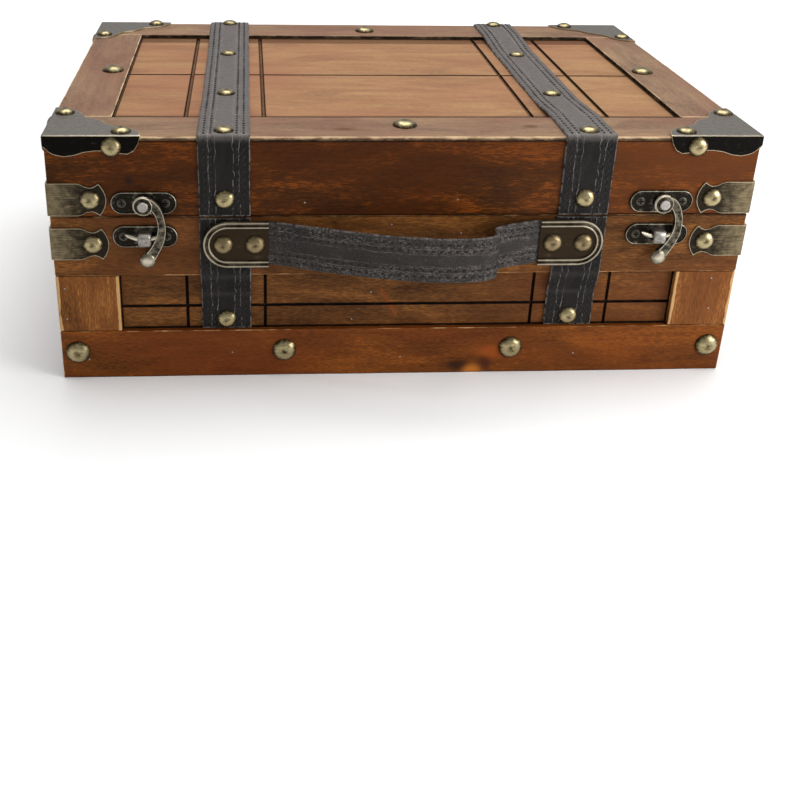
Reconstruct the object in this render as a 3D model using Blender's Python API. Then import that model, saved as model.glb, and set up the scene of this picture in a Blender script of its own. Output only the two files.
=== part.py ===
"""Wooden suitcase box: a boarded base and a hinged lid with leather straps, bronze fittings and domed nails.

Metres, +Z up. The box stands on the plane Z = 0, centred on the origin. Its front, with the latches and the
handle, faces -Y, and its hinges are at +Y. A depth that is called "out" is measured away from the wooden
face that a piece sits on.
"""

import math

import bmesh
import bpy
from mathutils import Matrix, Vector

# Box
WIDTH = 0.400
DEPTH = 0.280
SEAT = 0.0003  # gap between two pieces that touch
OVERRUN = 0.001  # how far a cutter runs past the face it cuts, and a joined shape into its neighbour

# Boards
BOTTOM_BOARD = 0.004
WALL = 0.009
BASE_HEIGHT = 0.1035
LID_WALL_HEIGHT = 0.0382
TOP_PANEL = 0.0053
TOP_FRAME = 0.0024
TOP_RAIL_WIDTH = 0.0377
TOP_STILE_WIDTH = 0.0332
BOARD_CHAMFER = 0.0006
FRONT_EDGE_SHOW = 0.0021  # edge of the top frame that shows above the lid's front board

# Boards applied on the front of the base
FRONT_BOARD = 0.006
FRONT_RAIL = 0.004
UPPER_RAIL_HEIGHT = 0.0365
BOTTOM_RAIL_HEIGHT = 0.0310
FRONT_STILE_WIDTH = 0.036

# Sawn grooves in the top panel and in the front board
GROOVE_WIDTH = 0.0022
GROOVE_DEPTH = 0.0012
MIDDLE_GROOVE_WIDTH = 0.0012
GROOVE_TO_STRAP = 0.0083  # from a strap's edge to the middle of the groove beside it
CROSS_GROOVE_RISE = 0.0144  # above the bottom rail

# Domed nails: head radius and height
STRAP_NAIL = (0.0056, 0.0025)
CORNER_NAIL = (0.0056, 0.0026)
LARGE_NAIL = (0.0070, 0.0032)
NAIL_PROFILE_SHARES = ((1.0, 0.16), (0.68, 0.74), (0.0, 1.0))
NAIL_SHANK_RADIUS = 0.0010
NAIL_SHANK_LENGTH = 0.0032
ROUND_STEPS = 12

# Leather straps
STRAP_WIDTH = 0.029
STRAP_LEATHER = 0.0014
STRAP_BEND = 0.0014  # rounding where a strap goes over the edge of the lid
LID_STRAP_RAMP = 0.040  # length along which a lid strap comes down to the sunk panel
BASE_STRAP_RAMP = 0.013  # the same for a base strap and the front board
MITRE_LIMIT_SHARE = 0.5  # least share of a strap's thickness that its sharpest bend may keep
STRAP_END_GAP = 0.0006  # from a strap's end to the edge of its board
LID_STRAP_NAIL_RISE = 0.0105  # nail above the lid's lower edge
TOP_STRAP_NAIL_INSET = 0.0062  # nail behind the lid's front or back edge
TOP_STRAP_NAIL_MIDDLE = 0.050  # nail from the middle of the lid
BASE_STRAP_NAIL_RISE = 0.0062  # nail above the bottom rail
STRAP_TO_LATCH = 0.0121  # from a latch plate to the strap beside it

# Bronze sheet
SHEET = 0.0008

# Corner straps: shares are of the length along the box and of half the height
CORNER_STRAP_LENGTH = 0.032
CORNER_STRAP_HEIGHT = 0.0192
CORNER_STRAP_SHARES = (
    (0.51, 1.0), (0.58, 0.93), (0.65, 0.79), (0.74, 0.73), (0.81, 0.81), (0.88, 0.98), (0.95, 0.62), (1.0, 0.0)
)
CORNER_STRAP_NAIL = 0.023  # from the corner of the box
LID_CORNER_STRAP_RISE = 0.0007  # above the lid's lower edge
BASE_CORNER_STRAP_DROP = 0.0066  # below the base's upper edge

# Corner guards: shares of the arm's length, then of the flange's depth
GUARD_ARM = 0.0524
GUARD_FLANGE = 0.0122
GUARD_EDGE_SHARES = (
    (0.985, 0.09), (0.93, 0.18), (0.85, 0.26), (0.70, 0.32), (0.61, 0.38), (0.575, 0.45), (0.525, 0.525)
)
GUARD_FLANGE_SHARES = (
    (0.0, 0.50), (0.04, 0.74), (0.10, 0.90), (0.20, 1.0), (0.31, 0.94), (0.41, 0.79), (0.53, 0.72),
    (0.66, 0.74), (0.76, 0.84), (0.86, 0.88), (0.93, 0.72), (0.98, 0.36)
)
GUARD_TOP_NAIL_ALONG = 0.0415
GUARD_TOP_NAIL_IN = 0.0062
GUARD_FLANGE_NAIL_ALONG = 0.0364
GUARD_FLANGE_NAIL_DROP = 0.0066

# Large nails of the top frame and of the bottom rail
TOP_NAIL_INSET = 0.0212  # from the lid's front or back edge
SIDE_NAIL_INSET = 0.0230  # from the lid's side
RAIL_NAIL_HEIGHT = 0.0175
RAIL_OUTER_NAIL_INSET = 0.0095
RAIL_INNER_NAIL_X = 0.0685

# Latches
LATCH_PLATE_LENGTH = 0.0368
LATCH_PLATE_HEIGHT = 0.0132
LATCH_PLATE = 0.0010
LATCH_TO_CORNER_STRAP = 0.0021
LATCH_PIVOT_RISE = 0.0083  # pivot above the lid's lower edge
TONGUE_REACH = 0.0202  # from the pivot to the middle of the tongue
TONGUE_HALF_WIDTH = 0.0014
TONGUE_THICKNESS = 0.0022
TONGUE_START = 25.0  # degrees from straight down, towards the arm
TONGUE_TIP = -29.5
HOOK_THICKNESS = 0.0028
HOOK_CLEARANCE = 0.0004  # between the hook's back and the corner nails that it swings over
HOOK_RING_RADIUS = 0.0057
HOOK_DROP = 0.0328  # from the pivot to the ball
HOOK_PATH_SHARES = (  # across, down and half width, all of the drop
    (0.00, 0.01, 0.085), (0.10, -0.06, 0.085), (0.235, 0.05, 0.080), (0.320, 0.20, 0.072), (0.340, 0.34, 0.068),
    (0.330, 0.47, 0.078), (0.285, 0.63, 0.086), (0.190, 0.80, 0.074), (0.07, 0.95, 0.080)
)
BALL_OFFSET = 0.0013
BALL_RADIUS = 0.0044
BALL_HEIGHT = 0.0038
BALL_PROFILE_SHARES = ((0.86, 0.0), (1.0, 0.26), (0.80, 0.76), (0.40, 0.96), (0.0, 1.0))
POST_BOSS_RADIUS = 0.0030
POST_RADIUS = 0.0016
POST_HEAD_RADIUS = 0.0030
POST_HEAD = 0.0013
RUNNING_GAP = 0.0003
BRIDGE_WIDTH = 0.0074
BRIDGE_WALL = 0.0018
BRIDGE_CLEARANCE = 0.0005

# Handle
HANDLE_PLATE_LENGTH = 0.0374
HANDLE_PLATE_HEIGHT = 0.0284
HANDLE_PLATE_OFFSET = 0.0059  # plate's middle from the strap's middle, towards the middle of the box
HANDLE_PLATE_RIM = 0.0026
HANDLE_PLATE_RIM_HEIGHT = 0.0010
HANDLE_NAIL_SPACING = 0.0180
HANDLE_NAIL_SHIFT = -0.0020  # middle of the nails from the middle of the plate, outwards
HANDLE_HEIGHT = 0.0882
HANDLE_WIDTH = 0.0264
HANDLE_LEATHER = 0.0020
HANDLE_BOW = 0.0270
HANDLE_PATH_SHARES = (  # along from the middle, of half the free span, and out, of the bow
    (-0.90, 0.08), (-0.71, 0.29), (-0.50, 0.50), (-0.25, 0.73), (0.0, 0.90), (0.22, 0.99), (0.42, 0.99),
    (0.555, 0.88), (0.615, 0.70), (0.622, 0.52), (0.665, 0.35), (0.76, 0.23), (0.90, 0.08)
)
HANDLE_END_SHARES = ((1.02, 0.30), (0.90, 0.66), (0.60, 0.90), (0.20, 1.0))
CURVE_STEPS = 3

# Hinges
HINGE_WIDTH = 0.0318
HINGE_TO_CORNER_STRAP = 0.0091
KNUCKLE_RADIUS = 0.0020
KNUCKLES = 4
KNUCKLE_GAP = 0.0004
PIN_RADIUS = 0.0010
CURL_RISE = 0.0127  # curl's axis above the pin
LEAF_DROP = 0.0428  # lower leaf's end below the pin
LEAF_END_SHARES = (  # along from the middle, of half the width, and up, of the notch
    (1.0, 0.0), (0.72, 0.22), (0.52, 0.10), (0.30, 0.90), (0.16, 0.62), (0.0, 1.0)
)
LEAF_NOTCH = 0.0022
HOOD_TOP = 0.0136  # below the pin
HOOD_BEND = 0.0158
HOOD_BOTTOM = 0.0299
HOOD_BEND_OUT = 0.0062
HOOD_BOTTOM_OUT = 0.0074
HOOD_METAL = 0.0009

# Wire bails
BAIL_WIRE = 0.0009
BAIL_LENGTH = 0.0320
BAIL_SIDE_GAP = 0.0041  # from the hinge's edge to the middle of the wire
BAIL_CORNER = 0.0030
BAIL_SIDES = 8

# Places that follow
BOTTOM_TOP = BOTTOM_BOARD + SEAT
LID_BOTTOM = BASE_HEIGHT + SEAT
LID_WALL_TOP = LID_BOTTOM + LID_WALL_HEIGHT
PANEL_BOTTOM = LID_WALL_TOP + SEAT
PANEL_TOP = PANEL_BOTTOM + TOP_PANEL
FRAME_BOTTOM = PANEL_TOP + SEAT
FRAME_TOP = FRAME_BOTTOM + TOP_FRAME
LID_FRONT_TOP = FRAME_TOP - FRONT_EDGE_SHOW - SEAT
HALF_WIDTH = WIDTH / 2
HALF_DEPTH = DEPTH / 2
INSIDE = HALF_DEPTH - WALL
UPPER_RAIL_BOTTOM = BASE_HEIGHT - UPPER_RAIL_HEIGHT
FRONT_BOARD_OUT = -FRONT_RAIL - SEAT  # the front board's face, counted out from the rails' face
PLATE_OUT = SEAT + SHEET
LATCH_X = HALF_WIDTH - CORNER_STRAP_LENGTH - LATCH_TO_CORNER_STRAP - LATCH_PLATE_LENGTH / 2
STRAP_X = LATCH_X - LATCH_PLATE_LENGTH / 2 - STRAP_TO_LATCH - STRAP_WIDTH / 2
PIVOT_HEIGHT = LID_BOTTOM + LATCH_PIVOT_RISE
KEEPER_HEIGHT = PIVOT_HEIGHT - TONGUE_REACH
HOOK_BACK = PLATE_OUT + CORNER_NAIL[1] + HOOK_CLEARANCE
HOOK_FRONT = HOOK_BACK + HOOK_THICKNESS
HANDLE_PLATE_X = STRAP_X - HANDLE_PLATE_OFFSET
HANDLE_HALF_SPAN = HANDLE_PLATE_X - HANDLE_PLATE_LENGTH / 2
HANDLE_BACK = 2 * SEAT + STRAP_LEATHER
HANDLE_PLATE_BACK = HANDLE_BACK + HANDLE_LEATHER + SEAT
HINGE_X = HALF_WIDTH - CORNER_STRAP_LENGTH - HINGE_TO_CORNER_STRAP - HINGE_WIDTH / 2
PIN_HEIGHT = BASE_HEIGHT + SEAT / 2
PIN_OUT = SEAT + KNUCKLE_RADIUS
CURL_HEIGHT = PIN_HEIGHT + CURL_RISE

PALETTE = {
    "stained_wood": ((0.290, 0.085, 0.022), 0.45, 0.0),
    "top_wood": ((0.360, 0.130, 0.045), 0.45, 0.0),
    "dark_leather": ((0.045, 0.040, 0.043), 0.60, 0.0),
    "antique_bronze": ((0.120, 0.095, 0.060), 0.42, 1.0),
    "nail_brass": ((0.420, 0.320, 0.150), 0.35, 1.0),
    "bronze_wire": ((0.380, 0.300, 0.170), 0.35, 1.0),
}


def clear_scene():
    for obj in list(bpy.data.objects):
        bpy.data.objects.remove(obj, do_unlink=True)


def make_materials():
    for name, (colour, roughness, metallic) in PALETTE.items():
        material = bpy.data.materials.new(name)
        material.use_nodes = True
        shader = material.node_tree.nodes["Principled BSDF"]
        shader.inputs["Base Color"].default_value = (*colour, 1.0)
        shader.inputs["Roughness"].default_value = roughness
        shader.inputs["Metallic"].default_value = metallic


def on_front(across, up, out):
    return Vector((across, -HALF_DEPTH - out, up))


def on_back(across, up, out):
    return Vector((across, HALF_DEPTH + out, up))


def on_top(across, along, out):
    return Vector((across, along, FRAME_TOP + out))


def in_room(across, along, up):
    return Vector((across, along, up))


def on_side(side):
    """Places on the left (-1) or right (+1) face: along, up, out."""
    return lambda along, up, out: Vector((side * (HALF_WIDTH + out), along, up))


def across_x(along, up, across):
    """An outline of depth and height, pulled along X."""
    return Vector((across, along, up))


def pull(bm, outline, low, high, place):
    """Adds the outline, pulled from low to high. place(u, v, w) puts a point of it in the room."""
    face = bm.faces.new([bm.verts.new(place(u, v, low)) for u, v in outline])
    pulled = bmesh.ops.extrude_face_region(bm, geom=[face])
    moved = [item for item in pulled["geom"] if isinstance(item, bmesh.types.BMVert)]
    bmesh.ops.translate(bm, verts=moved, vec=place(0, 0, high) - place(0, 0, low))


def turn(bm, profile, centre, place, steps=ROUND_STEPS):
    """Adds a turned body: the profile's (radius, out) pairs, swung round the line out of the face at centre."""
    rings = []
    for radius, out in profile:
        angles = [2 * math.pi * step / steps for step in range(steps if radius else 1)]
        rings.append(
            [
                bm.verts.new(place(centre[0] + radius * math.cos(a), centre[1] + radius * math.sin(a), out))
                for a in angles
            ]
        )
    for lower, upper in zip(rings, rings[1:]):
        for step in range(steps):
            after = (step + 1) % steps
            corners = [lower[step % len(lower)], lower[after % len(lower)]]
            corners += [upper[after % len(upper)], upper[step % len(upper)]]
            bm.faces.new(list(dict.fromkeys(corners)))
    for ring in (rings[0], rings[-1]):
        if len(ring) > 1:
            bm.faces.new(ring)


def rectangle(left, right, bottom, top):
    return [(left, bottom), (right, bottom), (right, top), (left, top)]


def arc(centre, radius, start, end, steps):
    """Points of an arc; angles in degrees, counted from +u towards +v."""
    angles = [math.radians(start + (end - start) * step / steps) for step in range(steps + 1)]
    return [(centre[0] + radius * math.cos(a), centre[1] + radius * math.sin(a)) for a in angles]


def ribbon(path):
    """The outline round a path of (u, v, half width)."""
    left, right = [], []
    for index, (u, v, half) in enumerate(path):
        before = path[max(index - 1, 0)]
        after = path[min(index + 1, len(path) - 1)]
        run = Vector((after[0] - before[0], after[1] - before[1])).normalized()
        left.append((u - run.y * half, v + run.x * half))
        right.append((u + run.y * half, v - run.x * half))
    return left + right[::-1]


def smooth_path(points, steps):
    """A Catmull-Rom curve through the points, each a tuple of any length."""
    path = [Vector(point) for point in points]
    path = [2 * path[0] - path[1]] + path + [2 * path[-1] - path[-2]]
    curve = []
    for a, b, c, d in zip(path, path[1:], path[2:], path[3:]):
        for step in range(steps):
            t = step / steps
            bend = 2 * a - 5 * b + 4 * c - d
            twist = -a + 3 * b - 3 * c + d
            curve.append((2 * b + (c - a) * t + bend * t * t + twist * t**3) / 2)
    return [tuple(point) for point in curve + [path[-2]]]


def make(name, bm, material, chamfer=0.0):
    """An object from a bmesh, with its sharp edges chamfered."""
    bmesh.ops.recalc_face_normals(bm, faces=bm.faces)
    mesh = bpy.data.meshes.new(name)
    bm.to_mesh(mesh)
    bm.free()
    mesh.materials.append(bpy.data.materials[material])
    obj = bpy.data.objects.new(name, mesh)
    bpy.context.scene.collection.objects.link(obj)
    if chamfer:
        bevel = obj.modifiers.new("chamfer", "BEVEL")
        bevel.width = chamfer
        bevel.segments = 1
    return obj


def combine(obj, bm, operation):
    """A Boolean with a hidden tool made from the bmesh."""
    tool = make(f"{obj.name}_tool", bm, obj.data.materials[0].name)
    tool.hide_render = True
    tool.display_type = "WIRE"
    boolean = obj.modifiers.new(operation.lower(), "BOOLEAN")
    boolean.operation = operation
    boolean.solver = "EXACT"
    boolean.object = tool


def board(name, left, right, front, back, bottom, top, material="stained_wood", chamfer=BOARD_CHAMFER):
    bm = bmesh.new()
    pull(bm, rectangle(left, right, front, back), bottom, top, in_room)
    return make(name, bm, material, chamfer)


def add_nail(bm, centre, face_out, place, size, sink=OVERRUN / 2):
    """Adds a domed nail head that stands on a face at face_out and reaches a little into it."""
    radius, height = size
    profile = [(radius, face_out - sink)]
    profile += [(radius * across, face_out + height * up) for across, up in NAIL_PROFILE_SHARES]
    turn(bm, profile, centre, place)


def hang(pivot, objects):
    """Parents objects to an empty on their joint's axis, without moving them."""
    for obj in objects:
        obj.parent = pivot
        obj.matrix_parent_inverse = Matrix.Translation(-pivot.location)


def pivot_at(name, place, parent=None):
    pivot = bpy.data.objects.new(name, None)
    pivot.location = place
    bpy.context.scene.collection.objects.link(pivot)
    if parent:
        pivot.parent = parent
        pivot.matrix_parent_inverse = Matrix.Translation(-parent.location)
    return pivot


def groove_places():
    beside = STRAP_WIDTH / 2 + GROOVE_TO_STRAP
    return [side * STRAP_X + offset for side in (-1, 1) for offset in (-beside, beside)]


def base_boards():
    front_face = -HALF_DEPTH - FRONT_BOARD_OUT
    front_inside = front_face + FRONT_BOARD
    board("bottom_board", -HALF_WIDTH, HALF_WIDTH, front_face, HALF_DEPTH, 0, BOTTOM_BOARD)
    front = board("base_front_board", -HALF_WIDTH, HALF_WIDTH, front_face, front_inside, BOTTOM_TOP, BASE_HEIGHT)
    groove_floor = front_face + GROOVE_DEPTH
    upright = bmesh.new()
    for x in groove_places():
        sides = rectangle(x - GROOVE_WIDTH / 2, x + GROOVE_WIDTH / 2, front_face - OVERRUN, groove_floor)
        pull(upright, sides, BOTTOM_RAIL_HEIGHT, UPPER_RAIL_BOTTOM, in_room)
    combine(front, upright, "DIFFERENCE")
    inner_edge = HALF_WIDTH - FRONT_STILE_WIDTH
    cross = BOTTOM_RAIL_HEIGHT + CROSS_GROOVE_RISE
    level = bmesh.new()
    sides = rectangle(-inner_edge, inner_edge, front_face - OVERRUN, groove_floor)
    pull(level, sides, cross - GROOVE_WIDTH / 2, cross + GROOVE_WIDTH / 2, in_room)
    combine(front, level, "DIFFERENCE")
    board("base_back_board", -HALF_WIDTH, HALF_WIDTH, INSIDE, HALF_DEPTH, BOTTOM_TOP, BASE_HEIGHT)
    for name, side in (("base_left_board", -1), ("base_right_board", 1)):
        across = sorted((side * HALF_WIDTH, side * (HALF_WIDTH - WALL)))
        board(name, *across, front_inside + SEAT, INSIDE - SEAT, BOTTOM_TOP, BASE_HEIGHT)


def rail_nail_places():
    outer = HALF_WIDTH - RAIL_OUTER_NAIL_INSET
    return [-outer, -RAIL_INNER_NAIL_X, RAIL_INNER_NAIL_X, outer]


def base_front_frame():
    rail = (-HALF_DEPTH, -HALF_DEPTH + FRONT_RAIL)
    board("base_upper_rail", -HALF_WIDTH, HALF_WIDTH, *rail, UPPER_RAIL_BOTTOM, BASE_HEIGHT)
    bottom = board("base_bottom_rail", -HALF_WIDTH, HALF_WIDTH, *rail, 0, BOTTOM_RAIL_HEIGHT)
    holes = bmesh.new()
    hole = NAIL_SHANK_RADIUS + SEAT
    for x in rail_nail_places():
        turn(holes, [(hole, OVERRUN), (hole, -FRONT_RAIL - OVERRUN)], (x, RAIL_NAIL_HEIGHT), on_front)
    combine(bottom, holes, "DIFFERENCE")
    for name, side in (("base_left_stile", -1), ("base_right_stile", 1)):
        across = sorted((side * HALF_WIDTH, side * (HALF_WIDTH - FRONT_STILE_WIDTH)))
        board(name, *across, *rail, BOTTOM_RAIL_HEIGHT + SEAT, UPPER_RAIL_BOTTOM - SEAT)


def rail_nails():
    for index, x in enumerate(rail_nail_places()):
        radius, height = LARGE_NAIL
        profile = [(NAIL_SHANK_RADIUS, SEAT - NAIL_SHANK_LENGTH), (NAIL_SHANK_RADIUS, SEAT), (radius, SEAT)]
        profile += [(radius * across, SEAT + height * up) for across, up in NAIL_PROFILE_SHARES]
        bm = bmesh.new()
        turn(bm, profile, (x, RAIL_NAIL_HEIGHT), on_front)
        make(f"bottom_rail_nail_{index + 1}", bm, "nail_brass")


def lid_boards():
    walls = (LID_BOTTOM, LID_WALL_TOP)
    made = [
        board("lid_front_board", -HALF_WIDTH, HALF_WIDTH, -HALF_DEPTH, -INSIDE, LID_BOTTOM, LID_FRONT_TOP),
        board("lid_back_board", -HALF_WIDTH, HALF_WIDTH, INSIDE, HALF_DEPTH, *walls),
    ]
    for name, side in (("lid_left_board", -1), ("lid_right_board", 1)):
        across = sorted((side * HALF_WIDTH, side * (HALF_WIDTH - WALL)))
        made.append(board(name, *across, -INSIDE + SEAT, INSIDE - SEAT, *walls))
    room = (-HALF_WIDTH, HALF_WIDTH, -INSIDE + SEAT, HALF_DEPTH, PANEL_BOTTOM, PANEL_TOP)
    panel = board("lid_top_panel", *room, material="top_wood")
    reach = HALF_DEPTH - TOP_RAIL_WIDTH
    floor = PANEL_TOP - GROOVE_DEPTH
    long_grooves = bmesh.new()
    for x in groove_places():
        sides = rectangle(x - GROOVE_WIDTH / 2, x + GROOVE_WIDTH / 2, -reach, reach)
        pull(long_grooves, sides, floor, PANEL_TOP + OVERRUN, in_room)
    combine(panel, long_grooves, "DIFFERENCE")
    middle = bmesh.new()
    side_reach = HALF_WIDTH - TOP_STILE_WIDTH
    half = MIDDLE_GROOVE_WIDTH / 2
    pull(middle, rectangle(-side_reach, side_reach, -half, half), floor, PANEL_TOP + OVERRUN, in_room)
    combine(panel, middle, "DIFFERENCE")
    return made + [panel]


def top_frame():
    """Four flat boards round the sunk panel, each pinned by one large domed nail.

    The front one laps over the lid's front board, which rises in front of the panel."""
    inner = HALF_DEPTH - TOP_RAIL_WIDTH
    heights = (FRAME_BOTTOM, FRAME_TOP)
    made = []
    for name, side in (("lid_front_rail", -1), ("lid_back_rail", 1)):
        along = sorted((side * HALF_DEPTH, side * inner))
        rail = board(name, -HALF_WIDTH, HALF_WIDTH, *along, *heights, "top_wood")
        if side < 0:
            lap = bmesh.new()
            ends = HALF_WIDTH + OVERRUN
            cut = rectangle(-ends, ends, -HALF_DEPTH - OVERRUN, -INSIDE + SEAT)
            pull(lap, cut, FRAME_BOTTOM - OVERRUN, LID_FRONT_TOP + SEAT, in_room)
            combine(rail, lap, "DIFFERENCE")
        nail = bmesh.new()
        add_nail(nail, (0, side * (HALF_DEPTH - TOP_NAIL_INSET)), 0, on_top, LARGE_NAIL)
        combine(rail, nail, "UNION")
        made.append(rail)
    for name, side in (("lid_left_stile", -1), ("lid_right_stile", 1)):
        across = sorted((side * HALF_WIDTH, side * (HALF_WIDTH - TOP_STILE_WIDTH)))
        stile = board(name, *across, -inner + SEAT, inner - SEAT, *heights, "top_wood")
        nail = bmesh.new()
        add_nail(nail, (side * (HALF_WIDTH - SIDE_NAIL_INSET), 0), 0, on_top, LARGE_NAIL)
        combine(stile, nail, "UNION")
        made.append(stile)
    return made


def lid_strap_half():
    """(along, up) points of a lid strap's inner face, from its front end to the middle of the lid."""
    face = -HALF_DEPTH - SEAT
    top = FRAME_TOP + SEAT
    recess = -HALF_DEPTH + TOP_RAIL_WIDTH
    return [
        (face, LID_BOTTOM + STRAP_END_GAP),
        (face, top - SEAT),
        (face + SEAT, top),
        (recess + SEAT, top),
        (recess + LID_STRAP_RAMP, PANEL_TOP + SEAT),
    ]


def thick_outline(path, thickness):
    """The outline of a strip whose one face runs along the path and whose other lies thickness to its left."""
    outer = []
    for index, (u, v) in enumerate(path):
        runs = []
        if index:
            runs.append(Vector((u - path[index - 1][0], v - path[index - 1][1])).normalized())
        if index < len(path) - 1:
            runs.append(Vector((path[index + 1][0] - u, path[index + 1][1] - v)).normalized())
        mean = sum(runs, Vector((0, 0))).normalized()
        reach = thickness / max(mean.dot(runs[0]), MITRE_LIMIT_SHARE)
        outer.append((u - mean.y * reach, v + mean.x * reach))
    return path + outer[::-1]


def lid_straps():
    half = lid_strap_half()
    path = half + [(-along, up) for along, up in reversed(half)]
    out = SEAT + STRAP_LEATHER
    edge = HALF_DEPTH - TOP_STRAP_NAIL_INSET
    sunk = PANEL_TOP - FRAME_TOP
    made = []
    for name, side in (("left_lid_strap", -1), ("right_lid_strap", 1)):
        x = side * STRAP_X
        bm = bmesh.new()
        pull(bm, thick_outline(path, STRAP_LEATHER), x - STRAP_WIDTH / 2, x + STRAP_WIDTH / 2, across_x)
        strap = make(name, bm, "dark_leather")
        nails = bmesh.new()
        for place in (on_front, on_back):
            add_nail(nails, (x, LID_BOTTOM + LID_STRAP_NAIL_RISE), out, place, STRAP_NAIL)
        for along in (-edge, edge):
            add_nail(nails, (x, along), out, on_top, STRAP_NAIL)
        for along in (-TOP_STRAP_NAIL_MIDDLE, TOP_STRAP_NAIL_MIDDLE):
            add_nail(nails, (x, along), out + sunk, on_top, STRAP_NAIL)
        combine(strap, nails, "UNION")
        made.append(strap)
    return made


def base_straps():
    face = -HALF_DEPTH - SEAT
    sunk = -HALF_DEPTH - FRONT_BOARD_OUT - SEAT
    path = [
        (sunk, BOTTOM_RAIL_HEIGHT + SEAT),
        (sunk, UPPER_RAIL_BOTTOM - BASE_STRAP_RAMP),
        (face, UPPER_RAIL_BOTTOM - SEAT),
        (face, BASE_HEIGHT - STRAP_END_GAP),
    ]
    for name, side in (("left_base_strap", -1), ("right_base_strap", 1)):
        x = side * STRAP_X
        bm = bmesh.new()
        pull(bm, thick_outline(path, STRAP_LEATHER), x - STRAP_WIDTH / 2, x + STRAP_WIDTH / 2, across_x)
        strap = make(name, bm, "dark_leather")
        nail = bmesh.new()
        centre = (x, BOTTOM_RAIL_HEIGHT + BASE_STRAP_NAIL_RISE)
        add_nail(nail, centre, FRONT_BOARD_OUT + SEAT + STRAP_LEATHER, on_front, STRAP_NAIL)
        combine(strap, nail, "UNION")


def corner_strap(name, side, place, end, middle):
    """A strip of sheet that wraps an upright corner, with a fishtail and a domed nail on each face.

    side is -1 left and +1 right, place is on_front or on_back, end is the sign of that face on Y."""
    half = CORNER_STRAP_HEIGHT / 2
    tail = [(along * CORNER_STRAP_LENGTH, up * half) for along, up in CORNER_STRAP_SHARES]
    below = [(along, -up) for along, up in tail[:-1]]
    bend = [(-PLATE_OUT, -half)] + below + tail[::-1] + [(-PLATE_OUT, half)]
    flat = [(side * (HALF_WIDTH - along), middle + up) for along, up in bend]
    round_corner = [(end * (HALF_DEPTH - along), middle + up) for along, up in bend]
    bm = bmesh.new()
    pull(bm, flat, SEAT, PLATE_OUT, place)
    strap = make(name, bm, "antique_bronze")
    other = bmesh.new()
    pull(other, round_corner, SEAT, PLATE_OUT, on_side(side))
    combine(strap, other, "UNION")
    nails = bmesh.new()
    add_nail(nails, (side * (HALF_WIDTH - CORNER_STRAP_NAIL), middle), PLATE_OUT, place, CORNER_NAIL, SHEET / 2)
    nail_along = end * (HALF_DEPTH - CORNER_STRAP_NAIL)
    add_nail(nails, (nail_along, middle), PLATE_OUT, on_side(side), CORNER_NAIL, SHEET / 2)
    combine(strap, nails, "UNION")
    return strap


CORNERS = (
    ("front_left", -1, on_front, -1),
    ("front_right", 1, on_front, -1),
    ("back_left", -1, on_back, 1),
    ("back_right", 1, on_back, 1),
)


def corner_straps():
    half = CORNER_STRAP_HEIGHT / 2
    lid_middle = LID_BOTTOM + LID_CORNER_STRAP_RISE + half
    base_middle = BASE_HEIGHT - BASE_CORNER_STRAP_DROP - half
    for name, side, place, end in CORNERS:
        corner_strap(f"base_corner_strap_{name}", side, place, end, base_middle)
    return [corner_strap(f"lid_corner_strap_{n}", side, place, end, lid_middle) for n, side, place, end in CORNERS]


def corner_guard(name, side, place, end):
    """A stamped guard: a flat top with a curved inner edge, and a wavy flange down each face."""
    arms = [(u * GUARD_ARM, v * GUARD_ARM) for u, v in GUARD_EDGE_SHARES]
    inner = [(GUARD_ARM, -PLATE_OUT)] + arms + [(v, u) for u, v in arms[-2::-1]] + [(-PLATE_OUT, GUARD_ARM)]
    top = [(side * (HALF_WIDTH - u), end * (HALF_DEPTH - v)) for u, v in inner + [(-PLATE_OUT, -PLATE_OUT)]]
    bm = bmesh.new()
    pull(bm, top, SEAT, PLATE_OUT, on_top)
    guard = make(name, bm, "antique_bronze")
    lip = FRAME_TOP + PLATE_OUT
    wave = [(along * GUARD_ARM, lip - down * GUARD_FLANGE) for along, down in GUARD_FLANGE_SHARES]
    wave = [(-PLATE_OUT, lip), (-PLATE_OUT, wave[0][1])] + wave + [(GUARD_ARM, lip)]
    for reach, face in ((HALF_WIDTH, place), (HALF_DEPTH, on_side(side))):
        sign = side if face is place else end
        flange = bmesh.new()
        pull(flange, [(sign * (reach - along), up) for along, up in wave], SEAT, PLATE_OUT, face)
        combine(guard, flange, "UNION")
    sink = SHEET / 2
    near, far = GUARD_TOP_NAIL_IN, GUARD_TOP_NAIL_ALONG
    nails = bmesh.new()
    for u, v in ((far, near), (near, far)):
        add_nail(nails, (side * (HALF_WIDTH - u), end * (HALF_DEPTH - v)), PLATE_OUT, on_top, CORNER_NAIL, sink)
    nail_up = lip - GUARD_FLANGE_NAIL_DROP
    on_face = side * (HALF_WIDTH - GUARD_FLANGE_NAIL_ALONG)
    add_nail(nails, (on_face, nail_up), PLATE_OUT, place, CORNER_NAIL, sink)
    on_end = end * (HALF_DEPTH - GUARD_FLANGE_NAIL_ALONG)
    add_nail(nails, (on_end, nail_up), PLATE_OUT, on_side(side), CORNER_NAIL, sink)
    combine(guard, nails, "UNION")
    return guard


def stadium(centre, length, height):
    """A plate with round ends."""
    radius = height / 2
    reach = length / 2 - radius
    right = arc((centre[0] + reach, centre[1]), radius, -90, 90, ROUND_STEPS // 2)
    return right + arc((centre[0] - reach, centre[1]), radius, 90, 270, ROUND_STEPS // 2)


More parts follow.
